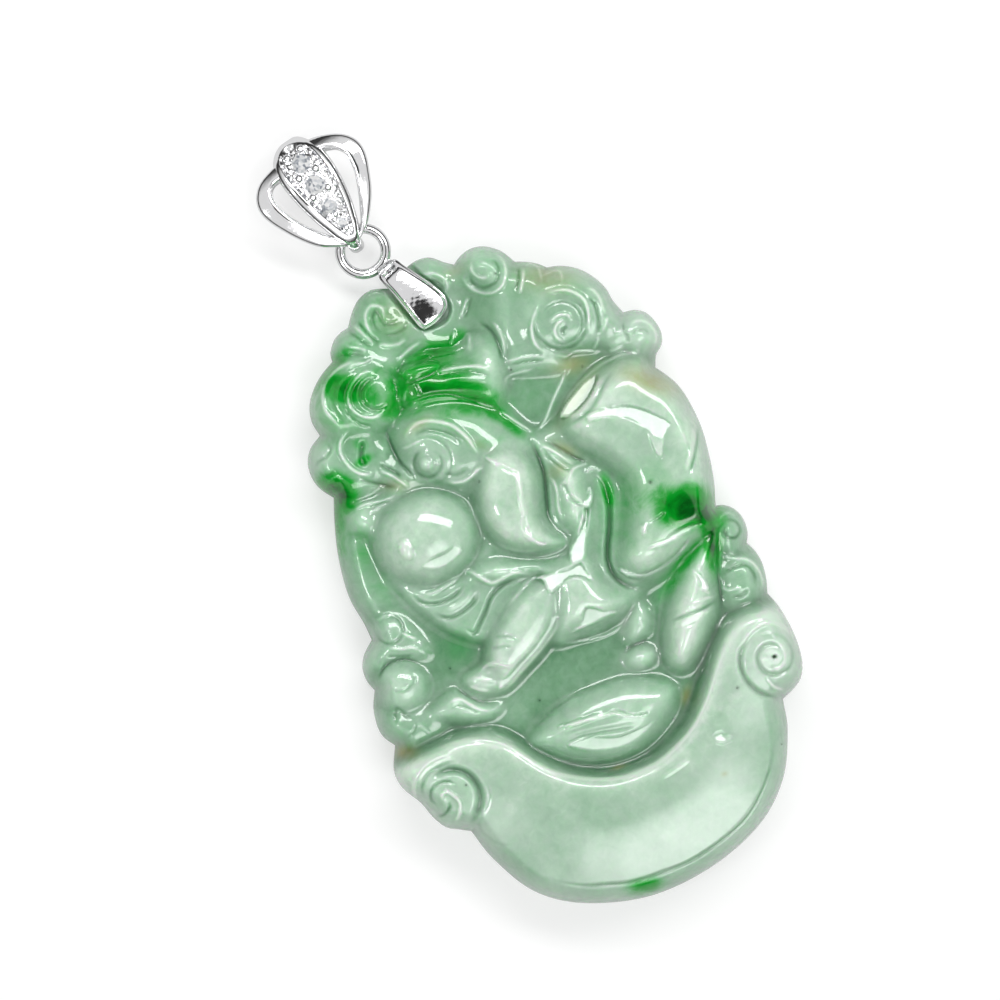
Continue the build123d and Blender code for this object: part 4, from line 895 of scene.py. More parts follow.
# Each row: outline, the azimuth that it faces and, where they aren't the usual ones, slope and soft edge
FACETS = [
    # Rump: a hook along its shoulder, and a streak above it
    ([(6.8, 9.85), (7.6, 9.95), (8.8, 9.8), (9.9, 9.5), (10.8, 8.9), (11.6, 8.1), (12.4, 7.1), (12, 6.7),
      (11.5, 6.1), (11.1, 5.5), (10.7, 4.9), (10.45, 5.6), (10.5, 6.4), (10.5, 7), (10.2, 7.6), (9.8, 8.2),
      (9.2, 8.7), (8.4, 9), (7.6, 9.25), (6.8, 9.4)], 50),
    ([(5.1, 10.5), (5.6, 11.1), (6.6, 11.7), (7.8, 12.3), (9, 12.4), (8.8, 12), (8, 11.2), (7, 10.6),
      (6, 10.3)], 75, 0.24),
    # Shoulder and side of the body
    ([(-1.6, 0.55), (-0.5, 0.45), (0.8, 0.25), (1.7, 0.2), (2.4, 0.3), (2.6, -0.4), (2.85, -1.6),
      (2.3, -1.2), (1.9, -0.8), (1.2, -0.55), (0.5, -0.75), (-0.5, -1.05), (-0.7, -0.4), (-0.75, 0.2)], 50),
    ([(1.75, 0.9), (2.1, 1.5), (3, 2.2), (3.8, 3.1), (4.3, 4), (4.6, 3.8), (4.2, 2.9), (3.6, 1.9), (3.2, 1),
      (2.7, 0.3), (1.8, 0.3)], 50),
    ([(3.1, 6), (3.6, 5.9), (3.7, 5), (4.2, 4.3), (4.9, 4.6), (5.15, 5.3), (5.25, 4.6), (4.9, 3.9),
      (4.4, 3.6), (3.7, 4.2), (3.2, 5)], 40),
    # Thigh and belly
    ([(7, -0.75), (8.4, -0.6), (9.2, -0.4), (10, -0.3), (11, -0.35), (11.8, -0.6), (10.5, -0.9), (9.5, -1),
      (8.3, -1.05)], 50),
    ([(4.75, -1.2), (5.1, -2.1), (6.2, -2.65), (7.4, -2.65), (8.6, -2.35), (9.8, -1.7), (10.4, -1.2),
      (9.9, -1.4), (8.8, -1.95), (7.6, -2.2), (6.4, -2.2), (5.5, -1.8)], -80),
    ([(7.25, 0.2), (7.35, 0.9), (7.9, 1.15), (8.8, 1.1), (9.6, 1.3), (8.9, 0.85), (8, 0.75),
      (7.6, 0.3)], 60),
    ([(-0.4, -4.2), (0.6, -3.9), (1, -3.3), (1.5, -2.9), (2.1, -3.2), (2.7, -3.7), (3.5, -4.2),
      (2.5, -4.25), (1.2, -4.3)], -80),
    # Lower edge of the foreleg, and the pale patch on the snout
    ([(-6.7, -6.1), (-5.6, -5.8), (-4.5, -5.25), (-3, -4.55), (-1.6, -3.7), (-0.5, -2.7), (-0.8, -2.45),
      (-1.9, -3.25), (-3.2, -4.05), (-4.7, -4.75), (-5.8, -5.25), (-6.6, -5.5)], -75),
    ([(-8.4, 4.4), (-7.4, 4.75), (-6.2, 4.8), (-5.4, 4.95), (-5.15, 4.35), (-6.2, 3.85), (-7.4, 3.8)], -80),
    # Ear
    ([(-1.15, 10.3), (-0.9, 10.05), (-0.3, 9.2), (0.4, 8.4), (0.85, 8.05), (0.75, 7.2), (0.4, 6.2),
      (0.2, 6.4), (0.4, 7.2), (0.4, 7.75), (-0.1, 8.35), (-0.65, 9.1)], 45),
    ([(0, 5.1), (-0.05, 4.6), (-0.1, 3.8), (0.05, 3.1), (0.7, 2.4), (0.2, 2.4), (-0.4, 3.1), (-0.6, 3.8),
      (-0.45, 4.5)], 40),
    # Mound
    ([(-3.9, -10.15), (-2, -10.3), (0, -10.45), (0.8, -10.7), (1.5, -11.35), (2.9, -11.8), (2, -11.8),
      (1.1, -11.45), (0.6, -11), (-0.2, -10.75), (-2.4, -10.6)], 50),
    ([(-3.7, -11.6), (-2.4, -11.6), (-1, -12.1), (0.2, -12.5), (1.8, -12.5), (2.9, -12.5), (2.2, -13),
      (0.8, -13.3), (-0.6, -13.3), (-2.2, -12.8), (-3.3, -12.1)], -80, 0.22),
    # Near hind leg
    ([(9.6, -3.3), (10.2, -4), (10.3, -5.2), (9.9, -5.4), (9.7, -4.4)], 30),
    ([(7.3, -6.6), (8.4, -6.4), (9.3, -6.5), (9, -6.9), (8, -7.2), (7.3, -7.1)], -80, 0.24),
    # Sparkle on the ingot
    ([(6.3, -15.1), (7, -15), (7.2, -15.6), (7.7, -15.8), (6.9, -16), (6.3, -15.7)], 50),
    # The darkest green of the thigh lies nearly level, so nothing bright shows over it
    ([(9.8, 0), (9.5, 1.2), (9.9, 2.3), (10.9, 2.6), (11.7, 1.8), (11.8, 0.5), (11.4, -0.15),
      (10.6, -0.2)], -50, 0.07, 0.4),
]


def cut_lines(r):
    for points, lift, half_width in FINE_LINES:
        r.ridge(points, lift * LINE_LIFT, half_width * LINE_WIDTH, paints_light_and_shade=True)
    for dome in SMALL_DOMES:
        r.bead(*dome)


def polish_facets(r):
    for outline, *facing in FACETS:
        r.facet(outline, *facing)


print("fine strokes:", len(FINE_LINES))

# %% [markdown]
# With the strokes ready, the whole face is one function of place. Near the rim the height rolls
# over to the wall in a quarter round, because a pendant has no edge that could snag cloth.

# %% Height of the carved face
WALL_TOP = 2.7
EDGE_ROUND = 1.7
SLAB_TOP = 9.15
SLAB_SOFT = 0.2
VALLEY_LEVEL = 6.9
VALLEY_SHARE = 0.5
VALLEY_SOFT = 0.5
FORM_BLUR = 0.25
FORM_CELL = 0.13
GRID_MARGIN = 3


def above(height, soft):
    """How far a height lies above nought, with a soft corner where it passes nought."""
    return (np.sqrt(height * height + soft * soft) + height) / 2


def carve_forms(x, y):
    """The main forms over each place."""
    dome = np.clip(1 - (x / GROUND_HALF[0]) ** 2 - (y / GROUND_HALF[1]) ** 2, 0, 1)
    r = Relief(x, y, GROUND + GROUND_DOME * dome)
    for carve in (carve_clouds, carve_crest, carve_head, carve_body, carve_legs, carve_side_curls,
                  carve_ingot):
        carve(r)
    # A relief is shallow: what lies low is lifted half way
    return r.z + (1 - VALLEY_SHARE) * above(VALLEY_LEVEL - r.z, VALLEY_SOFT)


def over_grid(height, cell):
    """A height over every knot of a square grid that covers the stone."""
    low, high = silhouette.min(axis=0) - GRID_MARGIN, silhouette.max(axis=0) + GRID_MARGIN
    xs, ys = np.arange(low[0], high[0], cell), np.arange(low[1], high[1], cell)
    gx, gy = (a.ravel() for a in np.meshgrid(xs, ys))
    return xs, ys, height(gx, gy).reshape(len(ys), len(xs))


def blurred(grid, radius):
    """A function that gives the height over any place, after a blur over a radius."""
    xs, ys, z = grid
    cell = xs[1] - xs[0]
    reach = math.ceil(3 * radius / cell)
    kernel = np.exp(-0.5 * (np.arange(-reach, reach + 1) * cell / radius) ** 2)
    kernel /= kernel.sum()
    soft = np.pad(z, reach, mode="edge")
    for axis in (0, 1):
        soft = np.apply_along_axis(np.convolve, axis, soft, kernel, "valid")

    def weights(t):
        """The shares of the four knots round a place, on a cubic curve that has no kink."""
        inner = (3 * t ** 3 - 6 * t * t + 4) / 6, (-3 * t ** 3 + 3 * t * t + 3 * t + 1) / 6
        return (1 - t) ** 3 / 6, *inner, t ** 3 / 6

    def around(x, y):
        across = np.clip((x - xs[0]) / cell, 1, len(xs) - 2.001)
        up = np.clip((y - ys[0]) / cell, 1, len(ys) - 2.001)
        i, j = across.astype(int), up.astype(int)
        total = np.zeros(len(x))
        for row, share_up in enumerate(weights(up - j), -1):
            for column, share_across in enumerate(weights(across - i), -1):
                total += share_up * share_across * soft[j + row, np.minimum(i + column, len(xs) - 1)]
        return total

    return around


# A wheel and a felt buff leave no crease on a form, so the forms are blurred before the lines are cut
soft_forms = blurred(over_grid(carve_forms, FORM_CELL), FORM_BLUR)


def carve_face(x, y):
    """Every stroke of the carving over each place, before the rim is rounded."""
    r = Relief(x, y, soft_forms(x, y))
    ease_to_clip(r)
    cut_lines(r)
    polish_facets(r)
    carve_seat(r)
    return r


def rolled(z, rim):
    """The face rolls over to the wall near the rim, in mm; rim is the distance from the outline."""
    # The stone was sawn from a slab, so no crest stands above one level
    z = z - above(z - SLAB_TOP, SLAB_SOFT)
    return WALL_TOP + (z - WALL_TOP) * np.sqrt(1 - (1 - np.clip(rim / EDGE_ROUND, 0, 1)) ** 2)


print("height of the forms over the middle:", soft_forms(np.zeros(1), np.zeros(1)).round(2), "mm")

# %% [markdown]
# The stone becomes one closed mesh. Its face is a net of small triangles over a grid of places, so
# the fine lines come out clean, while the walls and the flat back, which have no detail, get few.
# Points crowd near the outline, where the surface turns down, and the hole is left open.

# %% Net of places for the face
GRID = 0.126
HOLE_RADIUS = 0.75
HOLE_STEPS = 56
HOLE_LIPS = (0.05, 0.12)
RIM_RINGS = (0.03, 0.09, 0.17, 0.28)
# The grid keeps clear of the rings by this share of its own gap
CLEAR_SHARE = 0.6
SAME_PLACE = 1e-7


def hex_grid(low, high, gap):
    """Places on a triangular grid."""
    x = np.arange(low[0], high[0], gap)
    rows = np.arange(low[1], high[1], gap * math.sqrt(3) / 2)
    return np.concatenate([np.column_stack([x + gap / 2 * (i % 2), np.full(len(x), y)])
                           for i, y in enumerate(rows)])


def inward(line, offset):
    """A closed line, which may run either way round, moved inwards by an offset."""
    way = np.roll(line, -1, axis=0) - np.roll(line, 1, axis=0)
    way /= np.maximum(np.linalg.norm(way, axis=1, keepdims=True), 1e-9)
    area = np.sum(line[:, 0] * np.roll(line[:, 1], -1) - np.roll(line[:, 0], -1) * line[:, 1])
    normal = np.stack([-way[:, 1], way[:, 0]], axis=1) * np.sign(area)
    return line + normal * offset


def circle(centre, radius, steps):
    a = np.arange(steps) / steps * 2 * math.pi
    return np.stack([centre[0] + radius * np.cos(a), centre[1] + radius * np.sin(a)], axis=1)


def triangles_inside(points, rings, hole_centre, hole_radius):
    """Join places into triangles inside the first closed ring, leaving the round hole open."""
    edges = []
    for first, count in rings:
        edges += [(first + i, first + (i + 1) % count) for i in range(count)]
    result = delaunay_2d_cdt([Vector(p) for p in points], edges, [], 1, SAME_PLACE)
    source = [row[0] for row in result[3]]
    faces = np.array([[source[i] for i in face] for face in result[2]])
    middle = points[faces].mean(axis=1)
    return faces[np.hypot(*(middle - hole_centre).T) > hole_radius * 0.98]


def net_of_places():
    edge = smooth_line(SILHOUETTE, step=GRID)
    hole = circle(HOLE_AT, HOLE_RADIUS, HOLE_STEPS)
    hole_lips = [circle(HOLE_AT, HOLE_RADIUS + lip, HOLE_STEPS) for lip in HOLE_LIPS]
    rings = []
    for offset in RIM_RINGS:
        ring = inward(edge, offset)
        rings.append(ring[depth_inside(*ring.T, silhouette) > offset * 0.85])
    grid = hex_grid(silhouette.min(axis=0), silhouette.max(axis=0), GRID)
    deep = depth_inside(*grid.T, silhouette) > RIM_RINGS[-1] + GRID * CLEAR_SHARE
    clear = np.hypot(*(grid - HOLE_AT).T) > HOLE_RADIUS + 0.2
    points = np.concatenate([edge, hole, *hole_lips, *rings, grid[deep & clear]])
    faces = triangles_inside(points, [(0, len(edge)), (len(edge), HOLE_STEPS)], HOLE_AT, HOLE_RADIUS)
    print("places", len(points), "triangles", len(faces))
    return points, faces, len(edge)


places, face_triangles, edge_count = net_of_places()

# %% [markdown]
# Polished jade isn't one colour. It has milky clouds, emerald patches and brown stains of its own,
# and light and shade are painted on it too: it is paler where it is thick and on its crests, and
# darker where a cut brings the surface down. The shader can't know where the ear or a groove is, so
# each place carries a few numbers that it reads.

# %% Colour zones of the stone
# Each row: x, y, half length, half width, turn in degrees, strength
EMERALD = [
    # Faint washes over the upper half and the thigh
    (-8.6, 17.6, 3.8, 3, 0, 0.42), (-4.6, 21.6, 3.4, 2.4, 0, 0.34), (-12, 9, 1.6, 5, 0, 0.28),
    (4, 20, 6.5, 4, 0, 0.2), (4, 12.8, 2.4, 1.6, 0, 0.2), (9, 8, 5, 4, 0, 0.1),
    (8.6, 1.6, 4.2, 3.2, 0, 0.26), (-9.6, 13.4, 2.2, 1.8, 0, 0.24),
    # Crest and the band down to the coin
    (-3, 16.6, 2.5, 1.4, -5, 1.05), (-1.7, 18.2, 1.6, 1, 5, 0.95), (0.3, 18.8, 0.8, 0.4, 20, 0.8),
    (-0.8, 14.8, 2.2, 1, -38, 1.05), (0.7, 13.1, 1.3, 0.5, -55, 0.9), (1.5, 11.7, 1.3, 0.4, -62, 0.8),
    (-5.6, 16.1, 1.1, 0.8, 30, 0.85), (-2, 14.1, 1.5, 0.9, -20, 0.5), (-0.9, 12.6, 1.4, 0.8, -50, 0.35),
    (-4.8, 17.9, 0.5, 0.9, 0, 0.6), (-0.2, 10.9, 1.6, 0.4, -5, 0.35), (2.2, 17.2, 1.4, 1.8, 0, 0.22),
    (-3, 13.4, 2.4, 1.2, -25, 0.3), (-6, 18.6, 1.4, 0.7, 0, 0.5),
    # Left cloud and mane
    (-8.2, 18.4, 1.5, 0.8, -25, 1.1), (-9, 19.2, 1.2, 0.6, -40, 0.95), (-7, 17.2, 1, 1, 0, 0.65),
    (-9.2, 20.2, 2.2, 0.6, 24, 0.75), (-6.4, 19.7, 1.1, 0.35, 0, 0.35), (-7.9, 15.9, 0.9, 0.5, 0, 0.3),
    (-9, 14.5, 0.5, 0.6, 0, 0.55), (-9.3, 13.2, 0.6, 0.3, 10, 0.85),
    # Left shoulder and rim
    (-12.1, 12.3, 1.1, 0.8, -20, 1.2), (-11.7, 11.4, 1, 0.8, 50, 1.25), (-12.7, 13.2, 0.6, 0.6, 0, 0.5),
    (-12.8, 10.2, 1.5, 0.6, 62, 0.85), (-13.3, 8.6, 1.5, 0.5, 75, 0.55), (-11.8, 7.4, 1.7, 0.7, 75, 0.42),
    (-11.6, 4.6, 2, 0.8, 95, 0.32),
    # Thigh and what lies below it
    (11, 0.9, 1.6, 1.1, -20, 1.4), (12, 0, 1.1, 0.9, -40, 1.3), (9.7, 2.3, 1.2, 0.9, 0, 0.6),
    (8, 3, 2.4, 1.8, 10, 0.42), (6, 0.6, 1, 1.8, 0, 0.3), (11.8, -2, 1.6, 0.5, 72, 1.3),
    (9.8, -2.5, 1.9, 0.4, 26, 0.8), (8, -3.7, 1.5, 0.6, 35, 0.5), (6.2, 4.2, 1.1, 0.38, 80, 0.8),
    (9.3, 3.7, 0.4, 0.2, 0, 0.5), (13.2, 6.5, 1, 3.2, 0, 0.16),
    # Foot of the ingot, and painted shade: a touch of green that darkens the deep hollow left of the
    # foreleg
    (-2.4, -23.4, 1.05, 0.5, -15, 0.8), (-8.2, -1.8, 1.6, 1.3, 0, 0.3),
]
BROWN = [
    (6.9, 11.4, 1.7, 0.35, 33, 0.4), (-4.6, 14, 0.7, 0.25, 10, 0.35), (-1, 10.9, 0.5, 0.2, -50, 0.2),
    (12.3, 10.4, 1.5, 0.6, -40, 0.75), (11.2, 11.3, 0.8, 0.4, -30, 0.45), (12.8, 9.4, 0.6, 0.35, 0, 0.35),
    (8.3, 20.3, 1.3, 0.7, -25, 0.5), (7.4, 13.7, 0.9, 0.45, -10, 0.6), (-15, -7.5, 0.7, 0.35, -20, 0.7),
    (5.7, -11.7, 0.45, 0.2, 50, 0.6), (3.5, 7, 0.5, 0.35, 0, 0.4), (6, -18, 0.16, 0.12, 0, 0.5),
    (-0.9, -14.65, 0.35, 0.1, -5, 0.5), (-7.8, 10.6, 0.8, 0.3, -20, 0.3), (2.2, 23.4, 0.6, 0.3, 0, 0.25),
    (4.6, 8.3, 0.7, 0.25, -50, 0.4), (-3, 22, 0.8, 0.9, 0, 0.25),
]
# Pale milky patches: the stone's own milky clouds, and painted light. The patch round the clip's tongue
# lifts the shadow there, and the long bands over the ingot's foot, the mound's lower edge and the thigh's
# lower edge are painted reflections
MILK_AND_SHEEN = [
    (-1.4, 22.8, 2.3, 3.3, 28, 0.4), (12.9, 13.9, 1.6, 1.5, 0, 0.6), (12.4, -11.4, 2.4, 2.6, 0, 0.55),
    (5.4, -17.5, 3.2, 1.6, -15, 0.35), (-10.4, -15.3, 1.3, 1.4, 0, 0.5), (0, -21.4, 8, 1.5, 0, 0.45),
    (-12, 15, 0.9, 0.8, 0, 0.6), (-10.8, 17.8, 0.7, 1.8, 10, 0.35), (0, -12.9, 3, 0.5, 0, 0.3),
    (7.4, -8.2, 1.6, 1.4, 40, 0.35), (-6, -4.8, 2.6, 0.8, 30, 0.3), (8.5, -1.5, 2.6, 0.8, 10, 0.3),
    (-10.8, 9.2, 0.8, 0.8, 0, 0.4), (4.2, -5.5, 0.8, 0.8, 0, 0.5), (3.7, -7.9, 1, 0.6, 0, 0.6),
]
# Patches of painted shade on the deep ground between the forms; the last row is a faint darker wash over
# the ingot's face
DEEP_SHADE_PATCHES = [
    (2, -7, 6, 2.2, -8, 1.5), (-8.4, -1.8, 1.9, 1.4, 20, 2.2), (-3.6, -9.6, 2.6, 1.2, -50, 1.2),
    (7.6, -11.2, 1.2, 3.2, -35, 1), (-0.5, -15, 4.5, 0.5, 0, 0.8), (4.8, 2.6, 0.8, 3.4, 15, 0.6),
    (-2, -17.4, 7.5, 1.5, 0, 0.9),
]
# Each row: x, y, radius
DARK_SPECKS = [
    (12.66, -11.6, 0.13), (-4.3, -7.9, 0.1), (4.2, -13, 0.09), (-9.4, -3.2, 0.09), (10.7, -7.4, 0.08),
    (9.3, -12.6, 0.1), (3.2, 15.1, 0.08), (-11.6, -11.4, 0.09), (4.9, 22, 0.1), (8.1, 13.3, 0.07),
    (-2.1, 8.5, 0.08), (10.7, -17.7, 0.06), (9.3, 3.6, 0.12),
]


ZONE_FALL = 0.45


def zone(points, rows):
    """How strongly each place lies in the patches of a table, from 0 to 1."""
    total = np.zeros(len(points))
    for x, y, long, wide, turn, strength in rows:
        u, v = turned(points[:, 0] - x, points[:, 1] - y, turn)
        total = np.maximum(total, strength * np.exp(-ZONE_FALL * ((u / long) ** 2 + (v / wide) ** 2)))
    return total


# How high the stone is round each place tells a groove from a crest, for the painted shade and light
TONE_CELL = 0.25
NEAR_BLUR = 0.7
WIDE_BLUR = 2.4
carved = over_grid(lambda x, y: carve_face(x, y).z, TONE_CELL)
around_near = blurred(carved, NEAR_BLUR)
around_wide = blurred(carved, WIDE_BLUR)
print("emerald patches", len(EMERALD), "brown", len(BROWN), "milky", len(MILK_AND_SHEEN))

# %% [markdown]
# The face, the wall and the back become one closed mesh, ring by ring, because the light that
# scatters inside the stone has to meet a surface on every side. A shallow dish behind clears the
# leg of the clip.

# %% The stone's mesh
BACK_BEVEL = 0.35
BACK_GRID = 1.3
# Rings down the wall, from the face to the back: how far in, and how high
WALL_RINGS = ((0, 1.9), (0, 1.1), (0, BACK_BEVEL), (BACK_BEVEL * 0.3, BACK_BEVEL * 0.3), (BACK_BEVEL, 0))
CLIP_AT = (-2.2, 25.4)
CLIP_LEAN = 21.6
# The dish for the clip's rear leg, measured across and along the clip
DISH_CENTRE = (0.2, -1.65)
DISH_HALF = (1.75, 4.35)
DISH_DEPTH = 1.05
DISH_WALL = 0.12
DISH_STEP = 0.4


def back_height(points):
    """The back is flat, but for a shallow dish that clears the clip's rear leg."""
    across, along = turned(points[:, 0] - CLIP_AT[0], points[:, 1] - CLIP_AT[1], CLIP_LEAN)
    inside = np.minimum(DISH_HALF[0] - np.abs(across - DISH_CENTRE[0]),
                        DISH_HALF[1] - np.abs(along - DISH_CENTRE[1]))
    return DISH_DEPTH * smooth_step(inside / DISH_WALL + 0.5)


def dish_outline(margin):
    """Places along the dish's edge, a margin outside it, or inside where the margin is negative."""
    x, y = DISH_HALF[0] + margin, DISH_HALF[1] + margin
    line = smooth_line([(-x, -y, 1), (x, -y, 1), (x, y, 1), (-x, y, 1)], step=DISH_STEP)
    return np.column_stack(turned(*(line + DISH_CENTRE).T, -CLIP_LEAN)) + CLIP_AT


def new_piece(name, points, faces, material):
    """A smooth mesh object from places in mm, with every face turned to look out of its shell."""
    mesh = bpy.data.meshes.new(name)
    mesh.from_pydata((np.asarray(points) * MM).tolist(), [], [tuple(f) for f in faces])
    bm = bmesh.new()
    bm.from_mesh(mesh)
    bmesh.ops.recalc_face_normals(bm, faces=bm.faces)
    bm.to_mesh(mesh)
    bm.free()
    mesh.shade_smooth()
    mesh.materials.append(material)
    piece = bpy.data.objects.new(name, mesh)
    bpy.context.collection.objects.link(piece)
    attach(piece, "root")
    return piece


def strip(first, second, count):
    """Two triangles for each step between two rings of points."""
    i = np.arange(count)
    j = (i + 1) % count
    return np.concatenate([np.stack([first + i, second + i, second + j], axis=1),
                           np.stack([first + i, second + j, first + j], axis=1)])


def stone_mesh():
    """Points and triangles, the carved face, and how far from the outline each of its places lies."""
    rim = np.maximum(depth_inside(*places.T, silhouette), 0)
    rim[:edge_count] = 0
    face = carve_face(*places.T)
    points = [np.column_stack([places, rolled(face.z, rim)])]
    faces = [face_triangles]
    edge = places[:edge_count]
    last, count = 0, len(places)
    for inset, level in WALL_RINGS:
        ring = inward(edge, inset)
        points.append(np.column_stack([ring, np.maximum(level, back_height(ring))]))
        faces.append(strip(last, count, edge_count)[:, ::-1])
        last, count = count, count + edge_count
    # The back has few points: its ring, the hole, both edges of the dish and a coarse grid
    hole = circle(HOLE_AT, HOLE_RADIUS, HOLE_STEPS)
    extra = np.concatenate([hex_grid(silhouette.min(axis=0), silhouette.max(axis=0), BACK_GRID),
                            dish_outline(DISH_WALL / 2), dish_outline(-DISH_WALL / 2)])
    extra = extra[depth_inside(*extra.T, silhouette) > BACK_BEVEL + 0.1]
    extra = extra[np.hypot(*(extra - HOLE_AT).T) > HOLE_RADIUS + 0.1]
    rest = np.concatenate([hole, extra])
    loops = [(0, edge_count), (edge_count, HOLE_STEPS)]
    back_faces = triangles_inside(np.concatenate([ring, rest]), loops, HOLE_AT, HOLE_RADIUS)
    number = np.concatenate([last + np.arange(edge_count), count + np.arange(len(rest))])
    points.append(np.column_stack([rest, back_height(rest)]))
    faces.append(number[back_faces][:, ::-1])
    # Wall of the hole
    faces.append(strip(edge_count, count, HOLE_STEPS))
    points, faces = np.concatenate(points), np.concatenate(faces)
    print("stone:", len(points), "points,", len(faces), "triangles, highest", points[:, 2].max().round(2))
    return points, faces, face, rim


# %% [markdown]
# Jadeite is a mat of tiny fibres. Light goes a millimetre or two into it and comes back green, which
# subsurface scattering gives, and its polish is as bright as glass, so the surface itself is nearly
# smooth. The colour follows the tone of each place, which carries painted light and shade, broken up
# by cloudy noise a few millimetres across, and then takes its emerald, brown and milky zones, where
# the milky zone holds some painted light too.

# %% Jade
STONE_TONES = [(0.0, "#4E7B59"), (0.22, "#699774"), (0.42, "#86AD8F"), (0.62, "#9FC0A7"), (0.82, "#B6D1BC"),
               (1.0, "#D5E6D7")]
EMERALD_TONES = [(0.0, "#6FC283"), (0.42, "#16A636"), (0.72, "#009620"), (1.0, "#005A14")]
MILK_AND_SHEEN_COLOUR, BROWN_COLOUR, SPECK_COLOUR = "#D3E1D6", "#A5A05E", "#28402C"
# Sizes of the patterns in mm
CLOUD_SIZE = 4.2
FIBRE_SIZE = 0.7
EMERALD_SIZE = 1.5
BROWN_SIZE = 1.2
PITS_SIZE = 0.45


def jade():
    material = new_material("polished jadeite")
    tree = material.node_tree
    place = add_node(tree, "ShaderNodeTexCoord").outputs["Object"]
    zones = {name: add_node(tree, "ShaderNodeAttribute", {"attribute_name": name}).outputs["Fac"]
             for name in ("tone", "emerald", "brown", "milk_and_sheen", "speck")}

    def cloudy(size, detail, amount, distortion):
        """Patches of a size in mm that swing about nought."""
        noise = add_node(tree, "ShaderNodeTexNoise", Vector=place, Scale=1 / (size * MM), Detail=detail,
                         Roughness=0.6, Distortion=distortion)
        centred = add_node(tree, "ShaderNodeMath", {"operation": "SUBTRACT"}, i0=noise, i1=0.5)
        return add_node(tree, "ShaderNodeMath", TIMES, i0=centred, i1=amount)

    # The tone: painted light and shade from the carved shape, and the stone's own cloud in two sizes
    tone = add_node(tree, "ShaderNodeMath", PLUS, i0=zones["tone"], i1=cloudy(CLOUD_SIZE, 4, 0.50, 0.6))
    tone = add_node(tree, "ShaderNodeMath", PLUS, i0=tone, i1=cloudy(FIBRE_SIZE, 5, 0.34, 0.5))
    body = add_node(tree, "ShaderNodeValToRGB", Fac=tone)
    set_stops(body, STONE_TONES)
    # The milky zone: the stone's own milky clouds, with painted light and reflections among them
    milk_and_sheen = add_node(tree, "ShaderNodeMath", TIMES, i0=zones["milk_and_sheen"], i1=0.75)
    # Emerald breaks up at its edges and deepens towards its heart
    broken = cloudy(EMERALD_SIZE, 5, 1.3, 0.8)
    broken = add_node(tree, "ShaderNodeMath", TIMES, i0=zones["emerald"], i1=broken)
    emerald = add_node(tree, "ShaderNodeMath", PLUS, i0=zones["emerald"], i1=broken)
    heart = add_node(tree, "ShaderNodeMath", TIMES, i0=emerald, i1=0.75)
    green = add_node(tree, "ShaderNodeValToRGB", Fac=heart)
    set_stops(green, EMERALD_TONES)
    cover = add_node(tree, "ShaderNodeMapRange", SOFT_EDGE, Value=emerald, From_Min=0.04, From_Max=0.75)
    # Brown is blotchy, as a stain that came in along cracks
    blotches = add_node(tree, "ShaderNodeTexNoise", Vector=place, Scale=1 / (BROWN_SIZE * MM), Detail=4,
                        Roughness=0.6)
    blotches = add_node(tree, "ShaderNodeMath", PLUS, i0=blotches, i1=0.35)
    stain = add_node(tree, "ShaderNodeMath", TIMES, i0=zones["brown"], i1=blotches)
    colour = body
    for share, layer in ((milk_and_sheen, linear(MILK_AND_SHEEN_COLOUR)), (cover, green), (stain, linear(BROWN_COLOUR)),
                         (zones["speck"], linear(SPECK_COLOUR))):
        mixed = add_node(tree, "ShaderNodeMix", {"data_type": "RGBA"}, i0=share, i6=colour, i7=layer)
        colour = mixed.outputs[2]
    # The polish follows the grain of the stone in shallow pits
    pits = add_node(tree, "ShaderNodeTexNoise", Vector=place, Scale=1 / (PITS_SIZE * MM), Detail=3,
                    Roughness=0.6)
    bump = add_node(tree, "ShaderNodeBump", Strength=0.25, Distance=0.012 * MM, Height=pits)
    shader = add_node(tree, "ShaderNodeBsdfPrincipled", Base_Color=colour, Roughness=0.05, IOR=1.66,
                      Subsurface_Weight=1.0, Subsurface_Radius=(0.55, 1, 0.6), Subsurface_Scale=2.2 * MM,
                      Normal=bump)
    add_node(tree, "ShaderNodeOutputMaterial", Surface=shader)
    return material


polished_jade = jade()
print("jade has", len(polished_jade.node_tree.nodes), "nodes")

# %% [markdown]
# How pale a place is follows from the shape that was carved, and this is painted light and shade:
# how far it stands over what lies near it and wide round it, which fine strokes cross it, and how
# close it is to the rim. These numbers are worked out once and kept on the mesh, where the shader
# finds them.

# %% Tone of each place
BODY_TONE = 0.67
WALL_TONE = 0.45
# How much each painted light or shade pales or darkens the stone
NEAR_LIGHT_AND_SHADE = 0.38
WIDE_LIGHT_AND_SHADE = 0.18
HEIGHT_PAINTED_LIGHT = 0.03
PAINTED_LINE_TONE = 0.34
DEEP_SHADE = 0.18
RIM_SHADE = 0.05
UPPER_DARKENING = 0.08
RIM_SHADE_WIDTH = 1.8
MEAN_HEIGHT = 7.5
# Painted shade on the deep ground: in full where it lies low, and a little where it is higher
DEEP_BELOW = 6.8
DEEP_FADE = 0.45
DEEP_LEAST = 0.12
UPPER_FROM = 8
UPPER_FADE = 7
SPECK_STRENGTH = 0.9


